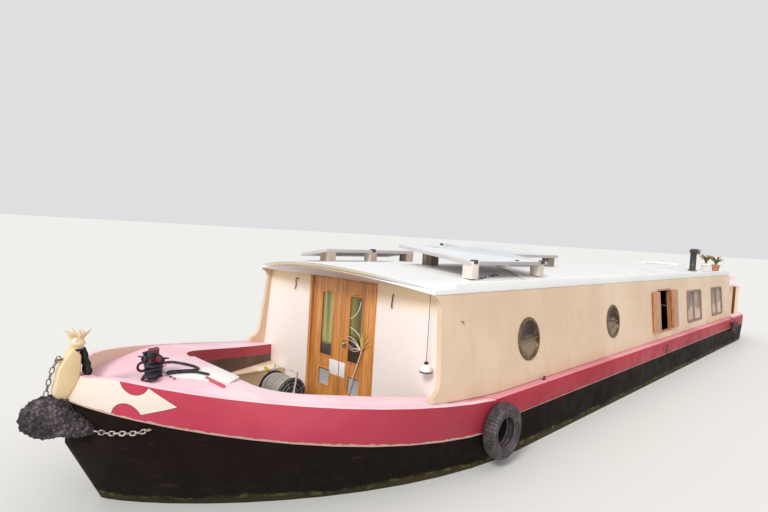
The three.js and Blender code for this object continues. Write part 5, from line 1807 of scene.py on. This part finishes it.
@dataclass
class CabinSides(Assembly):
    """Cabin sides with their portholes, windows and side hatch."""

    lean: float = math.atan(0.123 / 1.08)
    foot_y: float = 1.48
    foot_z: float = 1.22
    bar_step: float = 0.0525
    nail: Points = ((4.782, -0.004, 1.969), (4.782, 0.022, 1.966), (4.783, 0.028, 1.947))
    hook: Points = (
        (-0.868, 1.608, 1.128), (-0.846, 1.622, 1.160), (-0.812, 1.625, 1.128),
        (-0.786, 1.625, 1.070), (-0.748, 1.622, 1.046),
    )
    socket: Pairs = (
        (0.022, -0.004), (0.024, 0.010), (0.012, 0.016), (0.012, 0.030), (0.018, 0.036), (0.010, 0.044),
    )
    socket_at: Vec3 = (3.32, 1.520, 1.220)

    def depth(self, at: Vector) -> float:
        """How far a point lies outside the cabin side's outer face."""
        level = (abs(at.y) - self.foot_y) * math.cos(self.lean)
        return level + (at.z - self.foot_z) * math.sin(self.lean)

    def wall(self, z: float, out: float = 0.0) -> float:
        """The distance from the middle to the side's outer face at a height."""
        return self.foot_y - (z - self.foot_z) * math.tan(self.lean) + out

    def bars(self) -> None:
        """Fits the bar across each porthole's middle."""
        for side in Side:
            for end in ("forward", "aft"):
                low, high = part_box(f"porthole_{side.label}_{end}")
                x, z = (low[0] + high[0]) / 2, (low[2] + high[2]) / 2
                y = side.value * self.wall(z, -0.014)
                across = [(x + self.bar_step * step, y, z) for step in (-3.9, -2, 0, 2, 3.9)]
                carry(rod(f"porthole_bar_{side.label}_{end}", across, 0.006), BRONZE)

    def fittings(self) -> None:
        """Fits the small hooks and the stanchion socket of the port side."""
        height = self.nail[0][2]
        nail = [(x, self.wall(height, out), z) for x, out, z in self.nail]
        carry(rod("side_nail", nail, 0.0045), IRON)
        carry(rod("band_hook", self.hook, 0.010), IRON)
        carry(turned("deck_socket", self.socket, self.socket_at, sides=20), RUST)

    def build(self) -> None:
        """Dresses both sides."""
        glazed: Rule = lambda at, normal: -0.0305 < self.depth(at) < -0.0195 and abs(normal.y) > 0.9
        lens: Rule = lambda at, normal: -0.027 < self.depth(at) < -0.015 and abs(normal.y) > 0.9
        for side in Side:
            self.frame.refine("cabin_side_" + side.label, CREAM)
            for end in ("forward", "aft"):
                place = f"{side.label}_{end}"
                self.frame.refine("porthole_" + place, BRONZE, (lens, PORT_GLASS), angle=40)
                self.frame.refine("window_" + place, WINDOW_FRAME, (glazed, NET_GLASS), angle=40)
        self.frame.refine("side_hatch_frame", HATCH_OAK, width=0.002)
        for end in ("forward", "aft"):
            self.frame.refine("side_hatch_leaf_" + end, HATCH_OAK, width=0.003)
        self.bars()
        self.fittings()


@dataclass
class RoofGear(Assembly):
    """Roof, solar panels, chimney and pots."""

    visor: float = 5.09
    blocks: Pairs = (
        (4.21, 1.06), (2.76, 1.04), (3.78, 0.17), (1.08, 0.34), (2.40, 0.34), (1.10, -0.50),
        (4.56, -0.83), (3.83, -0.82), (3.10, -0.83),
    )
    weathered: Pairs = ((4.56, -0.83), (3.78, 0.17), (1.08, 0.34), (3.10, -0.83))
    block_reach: float = 0.09
    starboard_edge: float = -0.76
    clamped: Points = ((4.21, 1.090, 2.503), (2.76, 1.090, 2.503), (3.83, -0.790, 2.502))
    dots: Points = ((2.71, -0.506, 2.630), (3.268, 1.048, 2.507))
    strut: Pairs = ((2.65, 0.39), (2.90, 0.69), (3.15, 1.00), (3.40, 1.30))
    scraps: Pairs = ((4.018, 1.069), (3.900, 1.035), (3.700, 0.990), (3.558, 0.953))
    chimney: Vec3 = (-4.27, 1.06, 2.700)
    elbow: Points = ((0, 0, -0.06), (-0.010, 0.004, 0), (-0.060, 0.026, 0.036), (-0.135, 0.060, 0.046))
    pot_reach: float = 0.17
    leaf_count: int = 22
    bloom_count: int = 5
    bloom: Pairs = (
        (0.010, -0.014), (0.024, -0.006), (0.028, 0.004), (0.018, 0.014), (0.006, 0.018),
    )

    def near(self, at: Vector, places: Pairs) -> bool:
        """Whether a face stands at one of some blocks."""
        return any(math.dist((at.x, at.y), place) <= self.block_reach for place in places)

    def panels(self) -> None:
        """Dresses the solar panels, their blocks and clamps."""
        glass: Rule = lambda at, normal: normal.z > 0.95 and at.z > 2.43
        foot: Rule = lambda at, normal: abs(normal.z) < 0.5 and self.near(at, self.blocks)
        old: Rule = lambda at, normal: foot(at, normal) and self.near(at, self.weathered)
        # Faces under a panel's starboard edge get the painted shade.
        painted_shade_under_edge: Rule = lambda at, normal: normal.y > 0.9 and abs(at.y - self.starboard_edge) < 0.012
        finishes = (
            (glass, SOLAR_GLASS), (foot, BLOCK_PALE), (old, WEATHERED), (painted_shade_under_edge, PANEL_EDGE)
        )
        for name in ("port", "middle", "starboard"):
            self.frame.refine("solar_panel_" + name, SOLAR_FRAME, *finishes, width=0.002)
        clamps = []
        for x, y, z in self.clamped:
            low, high = (x - 0.035, y - 0.02, z - 0.028), (x + 0.035, y + 0.035, z + 0.014)
            clamps.append(block("panel_clamp", low, high, 0.006))
        for x, y, z in self.dots:
            low, high = (x - 0.02, y - 0.02, z - 0.02), (x + 0.02, y + 0.02, z + 0.01)
            clamps.append(block("panel_clamp", low, high, 0.005))
        carry(merged("panel_clamps", clamps), IRON)

    def clutter(self) -> None:
        """Lays the loose strut and the scraps on the roof."""
        lay = [(x, y, self.frame.top("roof", x, y) + 0.010) for x, y in self.strut]
        carry(rod("roof_strut", lay, 0.012), BLOCK_PALE)
        bits = []
        for index, (x, y) in enumerate(self.scraps):
            z = self.frame.top("roof", x, y) + 0.005
            along, aside = 0.05 * math.cos(0.9 * index), 0.03 * math.sin(0.9 * index)
            bit = [(x - along, y - aside, z), (x, y + 0.012, z + 0.006), (x + along, y + aside, z)]
            bits.append(rod("roof_scrap", bit, 0.008, taper=(0.5, 1.0, 0.5)))
        carry(merged("roof_scraps", bits), IRON)

    def plant(self, name: str, seed: int) -> None:
        """Fills a pot with leaves and blooms.

        Args:
            name: The pot's name.
            seed: The number that starts the leaves' random turns.
        """
        chance = random.Random(seed)
        low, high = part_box("plant_pot_" + name)
        x, y, z = (low[0] + high[0]) / 2, (low[1] + high[1]) / 2, high[2]
        leaves = []
        for index in range(self.leaf_count):
            angle = 2 * math.pi * index / self.leaf_count + chance.uniform(-0.2, 0.2)
            reach = self.pot_reach * chance.uniform(0.5, 1.0)
            rise = chance.uniform(0.08, 0.20)
            out, aside = reach * math.cos(angle), reach * math.sin(angle)
            route = [
                (x, y, z - 0.03),
                (x + 0.4 * out, y + 0.4 * aside, z + 0.8 * rise),
                (x + out, y + aside, z + rise),
            ]
            leaves.append(rod("pot_leaf", route, 0.013, taper=(0.4, 1.0, 0.3)))
        carry(merged("pot_leaves_" + name, leaves), LEAF)
        blooms = []
        reach = 0.6 * self.pot_reach
        for index in range(self.bloom_count):
            angle = 1.3 * index + seed
            out, aside = math.cos(angle), math.sin(angle)
            place = (x + reach * out, y + reach * aside, z + chance.uniform(0.10, 0.19))
            blooms.append(turned("bloom", self.bloom, place, (out, aside, 1.0), 10))
        carry(merged("pot_blooms_" + name, blooms), BLOOM)

    def build(self) -> None:
        """Dresses the roof and what stands on it."""
        # The underside faces behind the front edge get the painted shade.
        under: Rule = lambda at, normal: normal.z < -0.8 and at.x < self.visor
        self.frame.refine("roof", ROOF_WHITE, (under, ROOF_UNDERSIDE_SHADE), width=0.008, angle=40)
        self.frame.refine("rear_sliding_hatch", ROOF_WHITE, width=0.004)
        self.panels()
        self.clutter()
        self.frame.refine("chimney", IRON, angle=40)
        bend = shifted(self.chimney, self.elbow)
        carry(rod("chimney_elbow", bend, 0.056, taper=(1.0, 1.0, 1.0, 1.04)), STOVE_GREY)
        self.frame.refine("plant_pot_forward", POT_PALE, angle=40)
        self.frame.refine("plant_pot_aft", TERRACOTTA, angle=40)
        self.plant("forward", 3)
        self.plant("aft", 8)


@dataclass
class Stern(Assembly):
    """Rear bulkhead, doors, rudder, propeller and engine."""

    boards: tuple[tuple[str, Vec3, Vec3, float, Finish], ...] = (
        ("wing_board", (-7.12, 1.286, 1.219), (-7.08, 1.465, 1.93), 0.006, CREAM),
        ("wing_strip", (-7.082, 1.345, 1.219), (-7.07, 1.405, 1.91), 0.003, DARK_OAK),
        ("wing_cap", (-7.13, 1.280, 1.928), (-7.066, 1.475, 1.956), 0.006, DECK_PINK),
        ("screen_cap", (-6.72, 1.255, 2.110), (-6.63, 1.425, 2.215), 0.006, DECK_PINK),
    )

    def wings(self, side: Side) -> None:
        """Fits the wing board, its strip and the caps outside a rear screen.

        Args:
            side: The screen's side.
        """
        for name, low, high, width, finish in self.boards:
            near, far = sorted((side.value * low[1], side.value * high[1]))
            piece = block(
                f"{name}_{side.label}", (low[0], near, low[2]), (high[0], far, high[2]), width
            )
            carry(piece, finish)

    def build(self) -> None:
        """Dresses the stern."""
        self.frame.refine("rear_bulkhead", CREAM)
        for side in Side:
            self.frame.refine("rear_door_" + side.label, OAK, width=0.003)
        self.frame.refine("rudder", BLACKING, width=0.003)
        self.frame.refine("propeller", BRONZE)
        self.frame.refine("engine", ENGINE_GREEN, width=0.01)
        self.frame.refine("stern_fender", KNOTS, angle=60)
        for side in Side:
            self.wings(side)


@dataclass
class Lamp(Assembly):
    """The lamp that hangs from the roof's corner on its cord."""

    hook: Vec3 = (5.095, 1.262, 2.2228)
    top: float = 1.6054
    diameter: float = 0.006
    stops: int = 16
    rim_drop: float = 0.082
    collar: Pairs = (
        (0.016, -0.022), (0.021, -0.014), (0.020, -0.002), (0.012, 0.004), (0.006, 0.006),
    )

    def build(self) -> None:
        """Hangs the lamp."""
        x, y, z = self.hook
        points = [(x, y, z + (self.top - z) * i / (self.stops - 1)) for i in range(self.stops)]
        cord = curve("lamp_cord_hung", points, self.diameter / 2)
        self.frame.stand_in(cord, IRON, "lamp_cord")
        rim: Rule = lambda at, normal: at.z < self.top - self.rim_drop
        shade = self.frame.refine("lamp_shade", LAMP_WHITE, (rim, IRON), angle=45)
        collar = turned("lamp_collar", self.collar, (x, y, self.top), sides=20)
        carry(collar, IRON)


@dataclass
class RopeTail(Assembly):
    """The mooring rope's slack end, which lies in loops on the foredeck."""

    diameter: float = 0.022
    height: float = 1.4968
    length: float = 1.32
    route: Pairs = (
        (6.9316, -0.0563), (6.912, -0.072), (6.880, -0.124), (6.858, -0.200), (6.796, -0.276),
        (6.728, -0.276), (6.680, -0.200), (6.645, -0.100), (6.630, -0.015), (6.640, 0.048),
        (6.690, 0.062), (6.746, 0.042), (6.806, 0.022), (6.856, 0.008), (6.884, 0.014),
        (6.895, 0.034), (6.879, 0.054), (6.824, 0.061), (6.760, 0.084), (6.710, 0.112), (6.680, 0.155),
        (6.662, 0.205), (6.649, 0.248),
    )

    def build(self) -> None:
        """Lays the rope's end down."""
        points = flowing([(x, y, self.height) for x, y in self.route])
        tail = curve("stud_rope_end", points, self.diameter / 2, Route.STRAIGHT)
        self.frame.stand_in(tail, ROPE, "stud_rope_tail")


@dataclass
class TyreFender(Assembly):
    """The tyre that hangs at the shoulder as a fender."""

    def build(self) -> None:
        """Dresses the tyre."""
        self.frame.refine("tyre_fender", TYRE, angle=40)


@dataclass
class Studio:
    """Camera, floor and soft light."""

    eye: Vec3 = (8.720, 4.168, 2.733)
    yaw: float = 224.097
    pitch: float = -2.476
    roll: float = 3.437
    focal: float = 521.2
    width: int = 768
    sensor: float = 36.0
    floor_half: float = 400.0
    floor_tone: Rgb = (0.80, 0.80, 0.78)
    sky: tuple[float, float, float, float] = (0.98, 0.985, 1.0, 1.0)
    sky_strength: float = 0.75
    sun_from: Vec3 = (1.0, 0.34, 0.85)
    sun_tone: Rgb = (1.0, 0.97, 0.92)
    sun_strength: float = 1.9
    sun_width: float = 18.0

    def camera(self) -> None:
        """Stands the camera where the photograph was taken."""
        yaw, pitch, roll = (math.radians(a) for a in (self.yaw, self.pitch, self.roll))
        ahead = Vector(
            (math.cos(pitch) * math.cos(yaw), math.cos(pitch) * math.sin(yaw), math.sin(pitch))
        )
        right = ahead.cross(Vector((0, 0, 1))).normalized()
        above = right.cross(ahead)
        turned_right = math.cos(roll) * right + math.sin(roll) * above
        turned_up = math.cos(roll) * above - math.sin(roll) * right
        data = bpy.data.cameras.new("view")
        data.sensor_width = self.sensor
        data.sensor_fit = "HORIZONTAL"
        data.lens = self.focal / self.width * self.sensor
        data.clip_end = 2000.0
        data.dof.use_dof = False
        camera = bpy.data.objects.new("view", data)
        bpy.context.scene.collection.objects.link(camera)
        basis = Matrix((turned_right, turned_up, -ahead)).transposed().to_4x4()
        camera.matrix_world = Matrix.Translation(self.eye) @ basis
        bpy.context.scene.camera = camera

    def floor(self) -> None:
        """Lays the pale floor at the waterline."""
        only_none()
        bpy.ops.mesh.primitive_plane_add(size=2 * self.floor_half, location=(0, 0, WATERLINE))
        plane = settle(bpy.context.object, "floor")
        graph = Graph("floor_pale")
        graph.finish(self.floor_tone, 0.6)
        plane.data.materials.append(graph.material)

    def light(self) -> None:
        """Sets soft daylight from ahead and above."""
        world = bpy.data.worlds.new("studio")
        world.use_nodes = True
        backdrop = world.node_tree.nodes["Background"]
        backdrop.inputs["Color"].default_value = self.sky
        backdrop.inputs["Strength"].default_value = self.sky_strength
        bpy.context.scene.world = world
        bpy.context.scene.view_settings.view_transform = "Standard"
        data = bpy.data.lights.new("key", "SUN")
        data.energy = self.sun_strength
        data.angle = math.radians(self.sun_width)
        data.color = self.sun_tone
        key = bpy.data.objects.new("key", data)
        bpy.context.scene.collection.objects.link(key)
        key.rotation_mode = "QUATERNION"
        key.rotation_quaternion = Vector((0, 0, 1)).rotation_difference(Vector(self.sun_from))

    def build(self) -> None:
        """Sets up the studio."""
        self.camera()
        self.floor()
        self.light()


def main() -> None:
    """Builds the boat's looks over its frame."""
    logging.basicConfig(level=logging.INFO, format="%(message)s")
    frame = Frame()
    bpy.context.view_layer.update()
    Studio().build()
    parts: tuple[type[Assembly], ...] = (
        Lamp, RopeTail, Hull, BowGear, WellDeck, FrontEnd, CabinSides, RoofGear, Stern, TyreFender,
    )
    for part in parts:
        part(frame).build()
    left = sorted(set(frame.nodes) - frame.dressed)
    LOG.info("nodes without a finish: %s", left)


if __name__ == "__main__":
    main()
